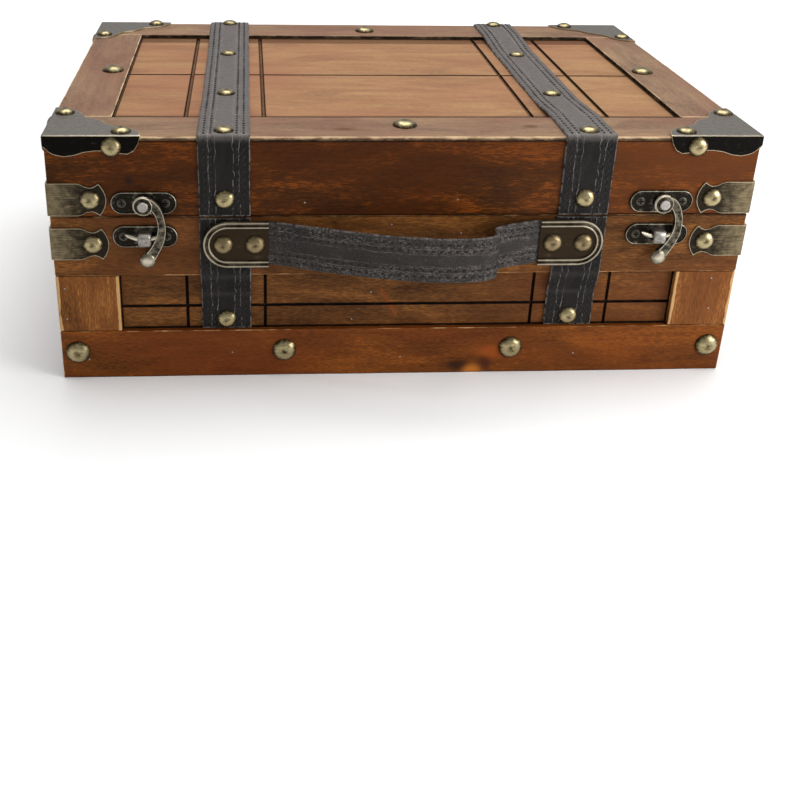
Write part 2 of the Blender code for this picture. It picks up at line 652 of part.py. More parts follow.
def latch_plate(name, x):
    """The plate on the lid with the riveted post that the hook turns on."""
    bm = bmesh.new()
    outline = stadium((x, PIVOT_HEIGHT), LATCH_PLATE_LENGTH, LATCH_PLATE_HEIGHT)
    pull(bm, outline, SEAT, SEAT + LATCH_PLATE, on_front)
    plate = make(name, bm, "antique_bronze")
    boss_top = HOOK_BACK - SEAT
    head_back = HOOK_FRONT + SEAT
    profile = [
        (POST_BOSS_RADIUS, SEAT + LATCH_PLATE / 2),
        (POST_BOSS_RADIUS, boss_top),
        (POST_RADIUS, boss_top),
        (POST_RADIUS, head_back),
        (POST_HEAD_RADIUS, head_back),
        (POST_HEAD_RADIUS, head_back + POST_HEAD / 2),
        (POST_RADIUS, head_back + POST_HEAD),
    ]
    post = bmesh.new()
    turn(post, profile, (x, PIVOT_HEIGHT), on_front)
    combine(plate, post, "UNION")
    return plate


def latch_keeper(name, x):
    """The plate on the base with the bridge that the tongue swings under."""
    bm = bmesh.new()
    outline = stadium((x, KEEPER_HEIGHT), LATCH_PLATE_LENGTH, LATCH_PLATE_HEIGHT)
    pull(bm, outline, SEAT, SEAT + LATCH_PLATE, on_front)
    keeper = make(name, bm, "antique_bronze")
    rise = TONGUE_REACH - math.sqrt(TONGUE_REACH**2 - (BRIDGE_WIDTH / 2) ** 2)
    eye = TONGUE_HALF_WIDTH + rise + BRIDGE_CLEARANCE
    eye_out = HOOK_BACK + TONGUE_THICKNESS + BRIDGE_CLEARANCE
    outer = eye + BRIDGE_WALL
    foot = SEAT + LATCH_PLATE / 2
    crown = eye_out + BRIDGE_WALL
    corner = BRIDGE_WALL / 2
    up_and_out = [
        (-outer, foot), (-eye, foot), (-eye, eye_out), (eye, eye_out), (eye, foot), (outer, foot),
        (outer, crown - corner), (outer - corner, crown), (corner - outer, crown), (-outer, crown - corner),
    ]
    profile = [(-HALF_DEPTH - out, KEEPER_HEIGHT + up) for up, out in up_and_out]
    bridge = bmesh.new()
    pull(bridge, profile, x - BRIDGE_WIDTH / 2, x + BRIDGE_WIDTH / 2, across_x)
    combine(keeper, bridge, "UNION")


def latch_hook(name, x):
    """The swinging hook: a ring on the post, a bowed arm, a ball to push and a tongue for the keeper."""
    bm = bmesh.new()
    path = [
        (x + across * HOOK_DROP, PIVOT_HEIGHT - down * HOOK_DROP, half * HOOK_DROP)
        for across, down, half in HOOK_PATH_SHARES
    ]
    pull(bm, ribbon(path), HOOK_BACK, HOOK_FRONT, on_front)
    hook = make(name, bm, "antique_bronze")
    ring = bmesh.new()
    ring_sides = [(HOOK_RING_RADIUS, HOOK_BACK), (HOOK_RING_RADIUS, HOOK_FRONT)]
    turn(ring, ring_sides, (x, PIVOT_HEIGHT), on_front)
    combine(hook, ring, "UNION")
    middle = (x, PIVOT_HEIGHT)
    start, tip = TONGUE_START - 90, TONGUE_TIP - 90
    outer = arc(middle, TONGUE_REACH + TONGUE_HALF_WIDTH, start, tip, ROUND_STEPS)
    inner = arc(middle, TONGUE_REACH - TONGUE_HALF_WIDTH, tip, start, ROUND_STEPS)
    tongue = bmesh.new()
    pull(tongue, outer + inner, HOOK_BACK, HOOK_BACK + TONGUE_THICKNESS, on_front)
    combine(hook, tongue, "UNION")
    ball = bmesh.new()
    profile = [(BALL_RADIUS * across, HOOK_BACK + BALL_HEIGHT * out) for across, out in BALL_PROFILE_SHARES]
    turn(ball, profile, (x + BALL_OFFSET, PIVOT_HEIGHT - HOOK_DROP), on_front)
    combine(hook, ball, "UNION")
    bore = bmesh.new()
    bore_radius = POST_RADIUS + RUNNING_GAP
    bore_sides = [(bore_radius, HOOK_BACK - OVERRUN), (bore_radius, HOOK_FRONT + OVERRUN)]
    turn(bore, bore_sides, (x, PIVOT_HEIGHT), on_front)
    combine(hook, bore, "DIFFERENCE")
    return hook


def plate_outline(side, inset=0.0, past=0.0):
    """A D: round towards the side of the box and square towards its middle, drawn in by inset."""
    radius = HANDLE_PLATE_HEIGHT / 2
    inner = HANDLE_PLATE_X - HANDLE_PLATE_LENGTH / 2 - past
    centre = HANDLE_PLATE_X + HANDLE_PLATE_LENGTH / 2 - radius
    round_end = arc((centre, HANDLE_HEIGHT), radius - inset, -90, 90, ROUND_STEPS)
    outline = [(inner, HANDLE_HEIGHT - radius + inset)] + round_end + [(inner, HANDLE_HEIGHT + radius - inset)]
    return [(side * across, up) for across, up in outline]


def handle_plates():
    floor = HANDLE_PLATE_BACK + SHEET
    for name, side in (("left_handle_plate", -1), ("right_handle_plate", 1)):
        bm = bmesh.new()
        pull(bm, plate_outline(side), HANDLE_PLATE_BACK, floor + HANDLE_PLATE_RIM_HEIGHT, on_front)
        plate = make(name, bm, "antique_bronze")
        tray = bmesh.new()
        top = floor + HANDLE_PLATE_RIM_HEIGHT + OVERRUN
        pull(tray, plate_outline(side, HANDLE_PLATE_RIM, OVERRUN), floor, top, on_front)
        combine(plate, tray, "DIFFERENCE")
        nails = bmesh.new()
        middle = HANDLE_PLATE_X + HANDLE_NAIL_SHIFT
        for across in (middle - HANDLE_NAIL_SPACING / 2, middle + HANDLE_NAIL_SPACING / 2):
            add_nail(nails, (side * across, HANDLE_HEIGHT), floor, on_front, CORNER_NAIL, SHEET / 2)
        combine(plate, nails, "UNION")


def handle_leather():
    """A strap held flat under both plates. It bows out from the left and folds back sharply near the right."""
    held = HANDLE_BACK + HANDLE_LEATHER / 2
    flat = HANDLE_PLATE_X + HANDLE_PLATE_LENGTH / 2 - HANDLE_PLATE_HEIGHT / 2
    ends = [(flat + (along - 1) * HANDLE_PLATE_RIM, width) for along, width in HANDLE_END_SHARES]
    half = HANDLE_WIDTH / 2
    left = [(-across, held, half * width) for across, width in ends]
    right = [(across, held, half * width) for across, width in reversed(ends)]
    bow = [
        (along * HANDLE_HALF_SPAN, held + out * HANDLE_BOW, half) for along, out in HANDLE_PATH_SHARES
    ]
    edge = [(-HANDLE_HALF_SPAN, held, half)], [(HANDLE_HALF_SPAN, held, half)]
    path = left + smooth_path(edge[0] + bow + edge[1], CURVE_STEPS) + right
    bm = bmesh.new()
    rings = []
    outline = ribbon([(across, out, HANDLE_LEATHER / 2) for across, out, _ in path])
    count = len(path)
    for index, (_, _, tall) in enumerate(path):
        near, far = outline[index], outline[2 * count - 1 - index]
        corners = [(near, -tall), (far, -tall), (far, tall), (near, tall)]
        rings.append([bm.verts.new(on_front(u, HANDLE_HEIGHT + up, out)) for (u, out), up in corners])
    for before, after in zip(rings, rings[1:]):
        for k in range(4):
            bm.faces.new((before[k], before[k - 1], after[k - 1], after[k]))
    bm.faces.new(rings[0])
    bm.faces.new(rings[-1])
    make("handle_leather", bm, "dark_leather")


def knuckle_spans(x):
    """(start, end, index) of each knuckle along the pin."""
    pitch = HINGE_WIDTH / KNUCKLES
    left = x - HINGE_WIDTH / 2
    spans = []
    for index in range(KNUCKLES):
        spans.append((left + index * pitch + KNUCKLE_GAP / 2, left + (index + 1) * pitch - KNUCKLE_GAP / 2, index))
    return spans


def tube_along_x(bm, radius, out, height, start, end):
    """Adds a round bar that lies along X on the back."""
    circle = arc((HALF_DEPTH + out, height), radius, 0, 360, ROUND_STEPS)[:-1]
    pull(bm, circle, start, end, across_x)


def add_knuckles(leaf, x, own):
    """Joins a leaf's own knuckles, clears the other leaf's, and bores the pin hole."""
    clear_radius = KNUCKLE_RADIUS + RUNNING_GAP
    clear = bmesh.new()
    knuckles = bmesh.new()
    for start, end, index in knuckle_spans(x):
        if index % 2 == own:
            tube_along_x(knuckles, KNUCKLE_RADIUS, PIN_OUT, PIN_HEIGHT, start, end)
        else:
            tube_along_x(clear, clear_radius, PIN_OUT, PIN_HEIGHT, start - KNUCKLE_GAP, end + KNUCKLE_GAP)
    combine(leaf, clear, "DIFFERENCE")
    combine(leaf, knuckles, "UNION")
    bore = bmesh.new()
    half = HINGE_WIDTH / 2 + OVERRUN
    tube_along_x(bore, PIN_RADIUS + RUNNING_GAP, PIN_OUT, PIN_HEIGHT, x - half, x + half)
    combine(leaf, bore, "DIFFERENCE")


def upper_leaf(name, x):
    """The lid's leaf: knuckles on the pin, and a curl at the top that the bail turns in."""
    half = HINGE_WIDTH / 2
    bm = bmesh.new()
    pull(bm, rectangle(x - half, x + half, PIN_HEIGHT, CURL_HEIGHT), SEAT, PLATE_OUT, on_back)
    leaf = make(name, bm, "antique_bronze")
    curl = bmesh.new()
    tube_along_x(curl, KNUCKLE_RADIUS, PIN_OUT, CURL_HEIGHT, x - half, x + half)
    combine(leaf, curl, "UNION")
    bore = bmesh.new()
    reach = half + OVERRUN
    tube_along_x(bore, BAIL_WIRE + RUNNING_GAP, PIN_OUT, CURL_HEIGHT, x - reach, x + reach)
    combine(leaf, bore, "DIFFERENCE")
    add_knuckles(leaf, x, 0)
    return leaf


def lower_leaf(name, x):
    """The base's leaf: knuckles, a notched end, and a hood that the bail's lower bar slides down behind."""
    half = HINGE_WIDTH / 2
    end = PIN_HEIGHT - LEAF_DROP
    edge = [(along * half, end + up * LEAF_NOTCH) for along, up in LEAF_END_SHARES]
    notched = [(x - along, up) for along, up in edge[:-1]] + [(x + along, up) for along, up in edge[::-1]]
    bm = bmesh.new()
    outline = notched + [(x + half, PIN_HEIGHT), (x - half, PIN_HEIGHT)]
    pull(bm, outline, SEAT, PLATE_OUT, on_back)
    leaf = make(name, bm, "antique_bronze")
    hood = bmesh.new()
    inner = [
        (PLATE_OUT - SHEET / 2, -HOOD_TOP - HOOD_METAL),
        (HOOD_BEND_OUT, -HOOD_BEND - HOOD_METAL),
        (HOOD_BOTTOM_OUT, -HOOD_BOTTOM),
    ]
    outer = [
        (HOOD_BOTTOM_OUT + HOOD_METAL, -HOOD_BOTTOM),
        (HOOD_BEND_OUT + HOOD_METAL, -HOOD_BEND),
        (PLATE_OUT - SHEET / 2, -HOOD_TOP),
    ]
    profile = [(HALF_DEPTH + out, PIN_HEIGHT + up) for out, up in inner + outer]
    pull(hood, profile, x - half, x + half, across_x)
    combine(leaf, hood, "UNION")
    add_knuckles(leaf, x, 1)


def hinge_pin(name, x):
    half = HINGE_WIDTH / 2
    bm = bmesh.new()
    tube_along_x(bm, PIN_RADIUS, PIN_OUT, PIN_HEIGHT, x - half, x + half)
    return make(name, bm, "bronze_wire")


def bail(name, x):
    """A closed rectangle of wire: its top bar turns in the curl and its lower bar lies behind the hood."""
    side = HINGE_WIDTH / 2 + BAIL_SIDE_GAP
    inner = side - BAIL_CORNER
    top = CURL_HEIGHT - BAIL_CORNER
    bottom = CURL_HEIGHT - BAIL_LENGTH + BAIL_CORNER
    path = []
    for across, up, start in ((inner, top, 0), (-inner, top, 90), (-inner, bottom, 180), (inner, bottom, 270)):
        path += arc((x + across, up), BAIL_CORNER, start, start + 90, CURVE_STEPS)
    bm = bmesh.new()
    rings = []
    for index, (across, up) in enumerate(path):
        before, after = path[index - 1], path[(index + 1) % len(path)]
        run = Vector((after[0] - before[0], after[1] - before[1])).normalized()
        ring = []
        for step in range(BAIL_SIDES):
            angle = 2 * math.pi * (step + 0.5) / BAIL_SIDES
            aside, out = BAIL_WIRE * math.cos(angle), BAIL_WIRE * math.sin(angle)
            ring.append(bm.verts.new(on_back(across + run.y * aside, up - run.x * aside, PIN_OUT + out)))
        rings.append(ring)
    for index, ring in enumerate(rings):
        after = rings[(index + 1) % len(rings)]
        for step in range(BAIL_SIDES):
            bm.faces.new((ring[step], ring[step - 1], after[step - 1], after[step]))
    return make(name, bm, "bronze_wire")


def main():
    clear_scene()
    make_materials()
    base_boards()
    base_front_frame()
    rail_nails()
    base_straps()
    handle_leather()
    handle_plates()
    lid_pivot = pivot_at("lid_pivot", on_back(0, PIN_HEIGHT, PIN_OUT))
    hang(lid_pivot, lid_boards() + top_frame() + lid_straps() + corner_straps())
    hang(lid_pivot, [corner_guard(f"corner_guard_{name}", side, place, end) for name, side, place, end in CORNERS])
    for word, side in (("left", -1), ("right", 1)):
        latch_x = side * LATCH_X
        hang(lid_pivot, [latch_plate(f"{word}_latch_plate", latch_x)])
        latch_keeper(f"{word}_latch_keeper", latch_x)
        latch_pivot = pivot_at(f"{word}_latch_pivot", on_front(latch_x, PIVOT_HEIGHT, HOOK_BACK), lid_pivot)
        hang(latch_pivot, [latch_hook(f"{word}_latch_hook", latch_x)])
        hinge_x = side * HINGE_X
        lower_leaf(f"{word}_hinge_base_leaf", hinge_x)
        hang(lid_pivot, [upper_leaf(f"{word}_hinge_lid_leaf", hinge_x)])
        hinge_pin(f"{word}_hinge_pin", hinge_x)
        bail_pivot = pivot_at(f"{word}_bail_pivot", on_back(hinge_x, CURL_HEIGHT, PIN_OUT), lid_pivot)
        hang(bail_pivot, [bail(f"{word}_hinge_bail", hinge_x)])


main()
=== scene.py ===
# %% [markdown]
# # A small wooden suitcase box
#
# The real object is a keepsake box made to look like an old suitcase: stained boards, leather straps,
# antique bronze fittings and domed nails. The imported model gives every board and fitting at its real
# size. This lesson dresses each one: the surfaces are worked out with numpy on grids, so that edges can
# be worn, leather can be stitched and metal rims can shine.

# %% Load the measured frame
import math

import bmesh
import bpy
import numpy as np
from mathutils import Matrix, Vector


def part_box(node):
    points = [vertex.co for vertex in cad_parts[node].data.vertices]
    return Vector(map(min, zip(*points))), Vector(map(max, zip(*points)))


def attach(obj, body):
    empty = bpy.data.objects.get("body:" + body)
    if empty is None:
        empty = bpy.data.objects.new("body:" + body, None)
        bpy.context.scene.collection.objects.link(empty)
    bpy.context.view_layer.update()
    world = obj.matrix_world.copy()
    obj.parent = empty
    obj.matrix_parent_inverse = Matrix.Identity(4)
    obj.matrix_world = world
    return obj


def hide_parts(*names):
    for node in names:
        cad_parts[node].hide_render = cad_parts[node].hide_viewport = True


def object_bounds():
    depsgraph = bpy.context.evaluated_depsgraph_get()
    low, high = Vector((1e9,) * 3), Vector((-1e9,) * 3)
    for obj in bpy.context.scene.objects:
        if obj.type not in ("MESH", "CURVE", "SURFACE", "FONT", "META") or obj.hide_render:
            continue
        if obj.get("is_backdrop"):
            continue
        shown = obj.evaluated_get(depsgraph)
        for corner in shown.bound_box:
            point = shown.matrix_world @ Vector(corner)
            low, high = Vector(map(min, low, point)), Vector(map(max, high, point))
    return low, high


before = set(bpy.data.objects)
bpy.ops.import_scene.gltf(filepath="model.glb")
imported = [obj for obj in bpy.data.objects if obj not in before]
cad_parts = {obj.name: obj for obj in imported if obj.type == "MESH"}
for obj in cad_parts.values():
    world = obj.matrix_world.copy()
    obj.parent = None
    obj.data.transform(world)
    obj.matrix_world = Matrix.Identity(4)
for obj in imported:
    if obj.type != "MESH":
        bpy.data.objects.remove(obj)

MM = 0.001
cad_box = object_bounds()

# %% [markdown]
# ## Faces of the box
#
# Most pieces sit flat on a face of the box, so four small functions turn a place on a face into a place
# in the room. The third number is always how far the point stands out of the wood. Taking the faces from
# the solids, instead of typing them again, keeps every piece on what carries it. SEAT is a hair's gap that
# keeps two faces from lying in the same place.

# %% Faces
HALF_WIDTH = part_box("lid_front_board")[1].x
HALF_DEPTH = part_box("lid_back_board")[1].y
LID_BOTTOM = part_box("lid_front_board")[0].z
BASE_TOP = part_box("base_upper_rail")[1].z
RAIL_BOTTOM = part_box("base_upper_rail")[0].z
RAIL_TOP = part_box("base_bottom_rail")[1].z
PANEL_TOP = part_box("lid_top_panel")[1].z
RAIL_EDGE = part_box("lid_back_rail")[0].y
LARGE_NAIL = (7.0 * MM, 3.2 * MM)  # radius and height
CORNER_NAIL = (5.6 * MM, 2.6 * MM)
STRAP_NAIL = (5.6 * MM, 2.5 * MM)
FRAME_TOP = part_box("lid_left_stile")[1].z - LARGE_NAIL[1]
SEAT = 0.3 * MM
SHEET = 0.8 * MM
SKIN = SEAT + SHEET  # how far the outer face of a bronze sheet stands out of the wood
SIDES = (("left", -1), ("right", 1))


def measure(node):
    """The middle and the half size of a solid's box, along X, Y and Z."""
    low, high = np.array(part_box(node))
    return ((low + high) / 2).tolist(), ((high - low) / 2).tolist()


def room(*axes):
    """Points from three numbers or tables of numbers, spread over each other."""
    return np.stack(np.broadcast_arrays(*axes), -1).astype(float)


def on_front(across, up, out):
    return room(across, -HALF_DEPTH - out, up)


def on_back(across, up, out):
    return room(across, HALF_DEPTH + out, up)


def on_top(across, along, out):
    return room(across, along, FRAME_TOP + out)


def on_side(side):
    """The face at the left or right end of the box."""
    def face(along, up, out):
        return room(side * (HALF_WIDTH + out), along, up)

    return face


print(f"box {2000 * HALF_WIDTH:.0f} x {2000 * HALF_DEPTH:.0f} mm, top at {1000 * FRAME_TOP:.1f} mm")

# %% [markdown]
# ## From grids to pieces
#
# A grid is a table of points with rows and columns. Every cell becomes two triangles, and points that
# fall together become one, which closes seams and poles. Three numbers ride along on each point for the
# materials: `edge`, the distance to a worn edge in millimetres, `tone`, how dark, dirty or grey the place
# is, which on the walls round the sunk top is painted shade and on the straps partly painted sheen, and
# `grain`, the point's own coordinates along and across the wood, hide or brushing.

# %% Grids
WAYS = np.array([[1.0, 0.31, 0.47], [-0.41, 1.13, 0.29], [0.23, -0.37, 0.91]])


def wobble(at, length):
    """An even unevenness from -1 to 1: the mean of three sine waves of about this length, in three directions."""
    return np.sin(at @ WAYS.T * (2 * np.pi / length) + [0.0, 1.7, 4.1]).mean(-1)


def grid(at, edge=9.0, tone=0.0, grain=None):
    """One grid with its three marks, each spread over all its points."""
    marks = {"edge": edge, "tone": tone}
    marks = {name: np.broadcast_to(value, at.shape[:-1]) for name, value in marks.items()}
    return {"at": at, "grain": at if grain is None else np.broadcast_to(grain, at.shape), **marks}


def join(grids):
    """Points and triangles of all grids, with points nearer than a micrometre made one.

    Numbers the points of each grid row by row, cuts each cell along one diagonal, and drops the triangles
    that a merged point has shrunk to a line."""
    faces, start = [], 0
    for one in grids:
        index = start + np.arange(one["tone"].size).reshape(one["tone"].shape)
        start += index.size
        a, b = index[..., :-1, :-1], index[..., 1:, :-1]
        c, d = index[..., 1:, 1:], index[..., :-1, 1:]
        faces += [np.stack([a, b, c], -1).reshape(-1, 3), np.stack([a, c, d], -1).reshape(-1, 3)]
    points = np.concatenate([one["at"].reshape(-1, 3) for one in grids])
    keys = np.round(points / (0.001 * MM)).astype(np.int64)
    _, first, back = np.unique(keys, axis=0, return_index=True, return_inverse=True)
    faces = back.reshape(-1)[np.concatenate(faces)]
    kept = (faces != np.roll(faces, 1, axis=1)).all(axis=1)
    return points[first], faces[kept], first


flat = room(np.arange(3)[:, None] * MM, np.arange(4) * MM, 0.0)
print("3 x 4 points make", len(join([grid(flat)])[1]), "triangles")

# %% Pieces
MIDDLE = np.array([0.0, 0.0, FRAME_TOP / 2])
MARKS = {"edge": ("FLOAT", "value", 1), "tone": ("FLOAT", "value", 1), "grain": ("FLOAT_VECTOR", "vector", 3)}


def face_outwards(mesh, points):
    """Makes the faces agree, then flips them if the volume seen from the middle of the box is negative."""
    shell = bmesh.new()
    shell.from_mesh(mesh)
    bmesh.ops.recalc_face_normals(shell, faces=shell.faces)
    shell.to_mesh(mesh)
    shell.free()
    corners = np.empty(len(mesh.loops), np.int32)
    mesh.loops.foreach_get("vertex_index", corners)
    a, b, c = (points[corners[k::3]] - MIDDLE for k in range(3))
    if np.einsum("ij,ij->", a, np.cross(b, c)) < 0:
        mesh.flip_normals()


def build(name, grids, material, body, slot, replaces=(), sharp=38):
    """Makes the piece, turns its faces outwards and lets it ride on its body."""
    points, faces, first = join(grids)
    mesh = bpy.data.meshes.new(name)
    mesh.from_pydata(points.tolist(), [], faces.tolist())
    face_outwards(mesh, points)
    for mark, (kind, field, width) in MARKS.items():
        values = np.concatenate([one[mark].reshape(-1, width) for one in grids])[first]
        mesh.attributes.new(mark, kind, "POINT").data.foreach_set(field, values.astype(np.float32).ravel())
    mesh.shade_smooth()
    mesh.set_sharp_from_angle(angle=math.radians(sharp))
    mesh.materials.append(material)
    piece = bpy.data.objects.new(name, mesh)
    bpy.context.scene.collection.objects.link(piece)
    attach(piece, body)
    if replaces:
        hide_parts(*replaces)
    print(f"{name}: {len(faces)} triangles on {body}")


BORDERS = {
    "first": (np.s_[:1, :], 0), "last": (np.s_[-1:, :], 0),
    "left": (np.s_[:, :1], 1), "right": (np.s_[:, -1:], 1),
}


def plate(outer, inner, borders, edge, tone, grain):
    """A closed sheet: its outer face, its inner face, and strips that join the two along the named borders.

    Borders are 'first' and 'last' row, and 'left' and 'right' column."""
    face = grid(outer, edge, tone, grain)
    grids = [face, grid(inner, face["edge"], face["tone"], face["grain"])]
    for border in borders:
        cut, axis = BORDERS[border]
        marks = {mark: np.concatenate([face[mark][cut]] * 2, axis) for mark in MARKS}
        grids.append(grid(np.concatenate([outer[cut], inner[cut]], axis), **marks))
    return grids


print("marks on every point:", *MARKS)

# %% [markdown]
# ## Colours and shader nodes
#
# Colours are picked as sRGB hex, as on a screen, and turned to the linear light values that the renderer
# mixes. One helper adds any shader node, so that a material reads as a list of what feeds what.

# %% Shader tools
SMOOTH = {"interpolation_type": "SMOOTHSTEP"}  # for a Map Range node: value, from low, high, to low, high
COLOURS = {"data_type": "RGBA"}  # for a Mix node: 0 is the second colour's share, 6 and 7 are the colours


def linear(hex_colour):
    """sRGB to linear: a small straight part near black, and a power of 2.4 above it."""
    value = np.array([int(hex_colour[k : k + 2], 16) for k in (1, 3, 5)]) / 255
    return (*np.where(value <= 0.04045, value / 12.92, ((value + 0.055) / 1.055) ** 2.4).tolist(), 1.0)


def node_adder(tree):
    """The function that adds one node to this tree.

    Its inputs go by number or by name. Each is a plain value, a hex colour, or what feeds it: an output, or a
    node whose first output in use is meant."""
    def add(kind, inputs=(), **settings):
        made = tree.nodes.new("ShaderNode" + kind)
        for name, value in settings.items():
            setattr(made, name, value)
        for socket, value in inputs.items() if isinstance(inputs, dict) else enumerate(inputs):
            if isinstance(value, bpy.types.Node):
                value = next(output for output in value.outputs if output.enabled)
            if isinstance(value, bpy.types.NodeSocket):
                tree.links.new(value, made.inputs[socket])
            else:
                made.inputs[socket].default_value = linear(value) if isinstance(value, str) else value
        return made

    return add


def new_material(name):
    material = bpy.data.materials.new(name)
    material.use_nodes = True
    material.node_tree.nodes.clear()
    return material, node_adder(material.node_tree)


print("linear of #808080:", [round(c, 3) for c in linear("#808080")])

# %% [markdown]
# ## Antique-stained wood
#
# The boards are a light softwood or ply with an orange-brown stain, rubbed on by hand and left darker in
# places, under a thin satin varnish. The fibres show as short streaks two thirds of a millimetre wide, drawn
# that coarse so that the render shows them, with soft bands and stain clouds over them. Pale wood shows where
# the arrises are rubbed through. The stain lies almost black in the sawn grooves and along the joints. On the
# sunk top panel a darker strip along the rails is their painted shadow, the walls round it are painted dark
# as shade, and the top's woods are painted paler than the walls' as painted light from above.

# %% Marks and streaks
def marks_of(add):
    """The three marks that every point carries."""
    edge, tone, grain = (add("Attribute", attribute_name=name).outputs for name in ("edge", "tone", "grain"))
    return edge["Fac"], tone["Fac"], grain["Vector"]


def streaks(add, grain, length, width, detail=3.0, twist=0.0):
    """Noise whose spots are this many millimetres long and wide."""
    drawn = add("VectorMath", (grain, (1000 / length, 1000 / width, 1000 / width)), operation="MULTIPLY")
    inputs = {"Vector": drawn, "Scale": 1.0, "Detail": detail, "Roughness": 0.6, "Distortion": twist}
    return add("TexNoise", inputs)


print("fibres of 3.6 x 0.65 mm, bands of 34 x 2.6 mm, clouds of 70 x 22 mm")

# %% Stained wood
def stained_wood(name, pale, warm, deep, blush, knots=(), bare="#bd9463", painted_light_right=None, rail_shadow=None):
    """Three browns from stain rubbed thin to thick dark stain, a redder one that drifts over the board, and knots.

    `bare` is the unstained wood of rubbed arrises. A colour for the right end, if given, is one that the board
    goes some way to towards the right end of the box: painted light from the right. A rail shadow, if given, is
    a painted shadow of the top's rails on the panel: the place of their inner edge, how far the shadow reaches
    from it, and its share."""
    material, add = new_material(name)
    edge, tone, grain = marks_of(add)
    place = add("TexCoord").outputs["Object"]
    fibres = add("MapRange", (streaks(add, grain, 3.6, 0.65, 2.0), 0.30, 0.70), **SMOOTH)
    bands = add("MapRange", (streaks(add, grain, 34, 2.6, 4.0, 0.2), 0.30, 0.70), **SMOOTH)
    clouds = add("MapRange", (streaks(add, grain, 70, 22, 4.0, 0.8), 0.32, 0.68), **SMOOTH)
    sums = add("Math", (bands, 0.20), operation="MULTIPLY")
    sums = add("Math", (clouds, 0.42, sums), operation="MULTIPLY_ADD")
    sums = add("Math", (fibres, 0.38, sums), operation="MULTIPLY_ADD")
    colour = add("Mix", {0: add("MapRange", (sums, 0.08, 0.52), **SMOOTH), 6: deep, 7: warm}, **COLOURS)
    colour = add("Mix", {0: add("MapRange", (sums, 0.48, 0.92), **SMOOTH), 6: colour, 7: pale}, **COLOURS)
    drift = add("MapRange", (streaks(add, grain, 150, 90, 2.0), 0.40, 0.60, 0.0, 0.5), **SMOOTH)
    colour = add("Mix", {0: drift, 6: colour, 7: blush}, **COLOURS)
    # Painted light from the right: the board goes paler towards the right end of the box.
    if painted_light_right:
        across = add("SeparateXYZ", (place,)).outputs["X"]
        drift = add("MapRange", (across, 0.1 * HALF_WIDTH, 0.8 * HALF_WIDTH, 0.0, 0.42), **SMOOTH)
        colour = add("Mix", {0: drift, 6: colour, 7: painted_light_right}, **COLOURS)
    if rail_shadow:
        # A painted shadow of the rails: the strip is 1.5 mm wider along the far rail, and as much narrower along
        # the near one.
        rail, spread, share = rail_shadow
        along = add("Math", (add("SeparateXYZ", (place,)).outputs["Y"], 1.5 * MM), operation="ADD")
        away = add("Math", (rail, add("Math", (along,), operation="ABSOLUTE")), operation="SUBTRACT")
        away = add("Math", (streaks(add, grain, 30, 30), 1.0 * MM, away), operation="MULTIPLY_ADD")
        away = add("MapRange", (away, spread, spread + 0.8 * MM, share, 0.0), **SMOOTH)
        colour = add("Mix", {0: away, 6: colour, 7: "#3a2212"}, **COLOURS)
    for centre, reach, stretch, tint in knots:
        away = add("VectorMath", (place, centre), operation="SUBTRACT")
        away = add("VectorMath", (away, stretch), operation="MULTIPLY")
        away = add("VectorMath", (away,), operation="LENGTH").outputs["Value"]
        ragged = add("TexNoise", {"Scale": 300.0, "Detail": 3.0})
        away = add("Math", (away, ragged), operation="MULTIPLY")
        inside = add("MapRange", (away, 0.15 * reach, 0.6 * reach, 1.0, 0.0), **SMOOTH)
        colour = add("Mix", {0: inside, 6: colour, 7: tint}, **COLOURS)
    patchy = add("MapRange", (streaks(add, grain, 6, 3), 0.2, 0.6, 0.8, 1.0), **SMOOTH)
    # tone darkens the wood: stain and dirt at the joints, and painted shade on the walls round the sunk top.
    darkening = add("Math", (tone, patchy), operation="MULTIPLY")
    colour = add("Mix", {0: darkening, 6: colour, 7: "#0e0906"}, **COLOURS)
    spots = add("Math", (edge, 1.1), operation="ADD")
    spots = add("Math", (streaks(add, grain, 12, 7), -2.4, spots), operation="MULTIPLY_ADD")
    clean = add("Math", (1.0, darkening), operation="SUBTRACT")
    rubbed = add("Math", (add("MapRange", (spots, 0.1, 0.6, 1.0, 0.0), **SMOOTH), clean), operation="MULTIPLY")
    colour = add("Mix", {0: rubbed, 6: colour, 7: bare}, **COLOURS)
    varnish = add("MapRange", (clouds, 0.0, 1.0, 0.55, 0.45), **SMOOTH)
    inputs = {"Base Color": colour, "Specular IOR Level": 0.09}
    inputs["Roughness"] = add("Math", (darkening, 0.4, varnish), operation="MULTIPLY_ADD")
    inputs["Normal"] = add("Bump", {"Strength": 0.3, "Distance": 0.1 * MM, "Height": fibres})
    add("OutputMaterial", {"Surface": add("BsdfPrincipled", inputs)})
    return material


def knot(x, y, z, reach, tint, stretch=(1.0, 1.0, 1.0)):
    """A round or drawn-out patch: its centre and reach in millimetres, and how much shorter it is each way."""
    return (x * MM, y * MM, z * MM), reach * MM, stretch, tint


print("a knot is", knot(0, 0, 0, 3, "#2c170b"))

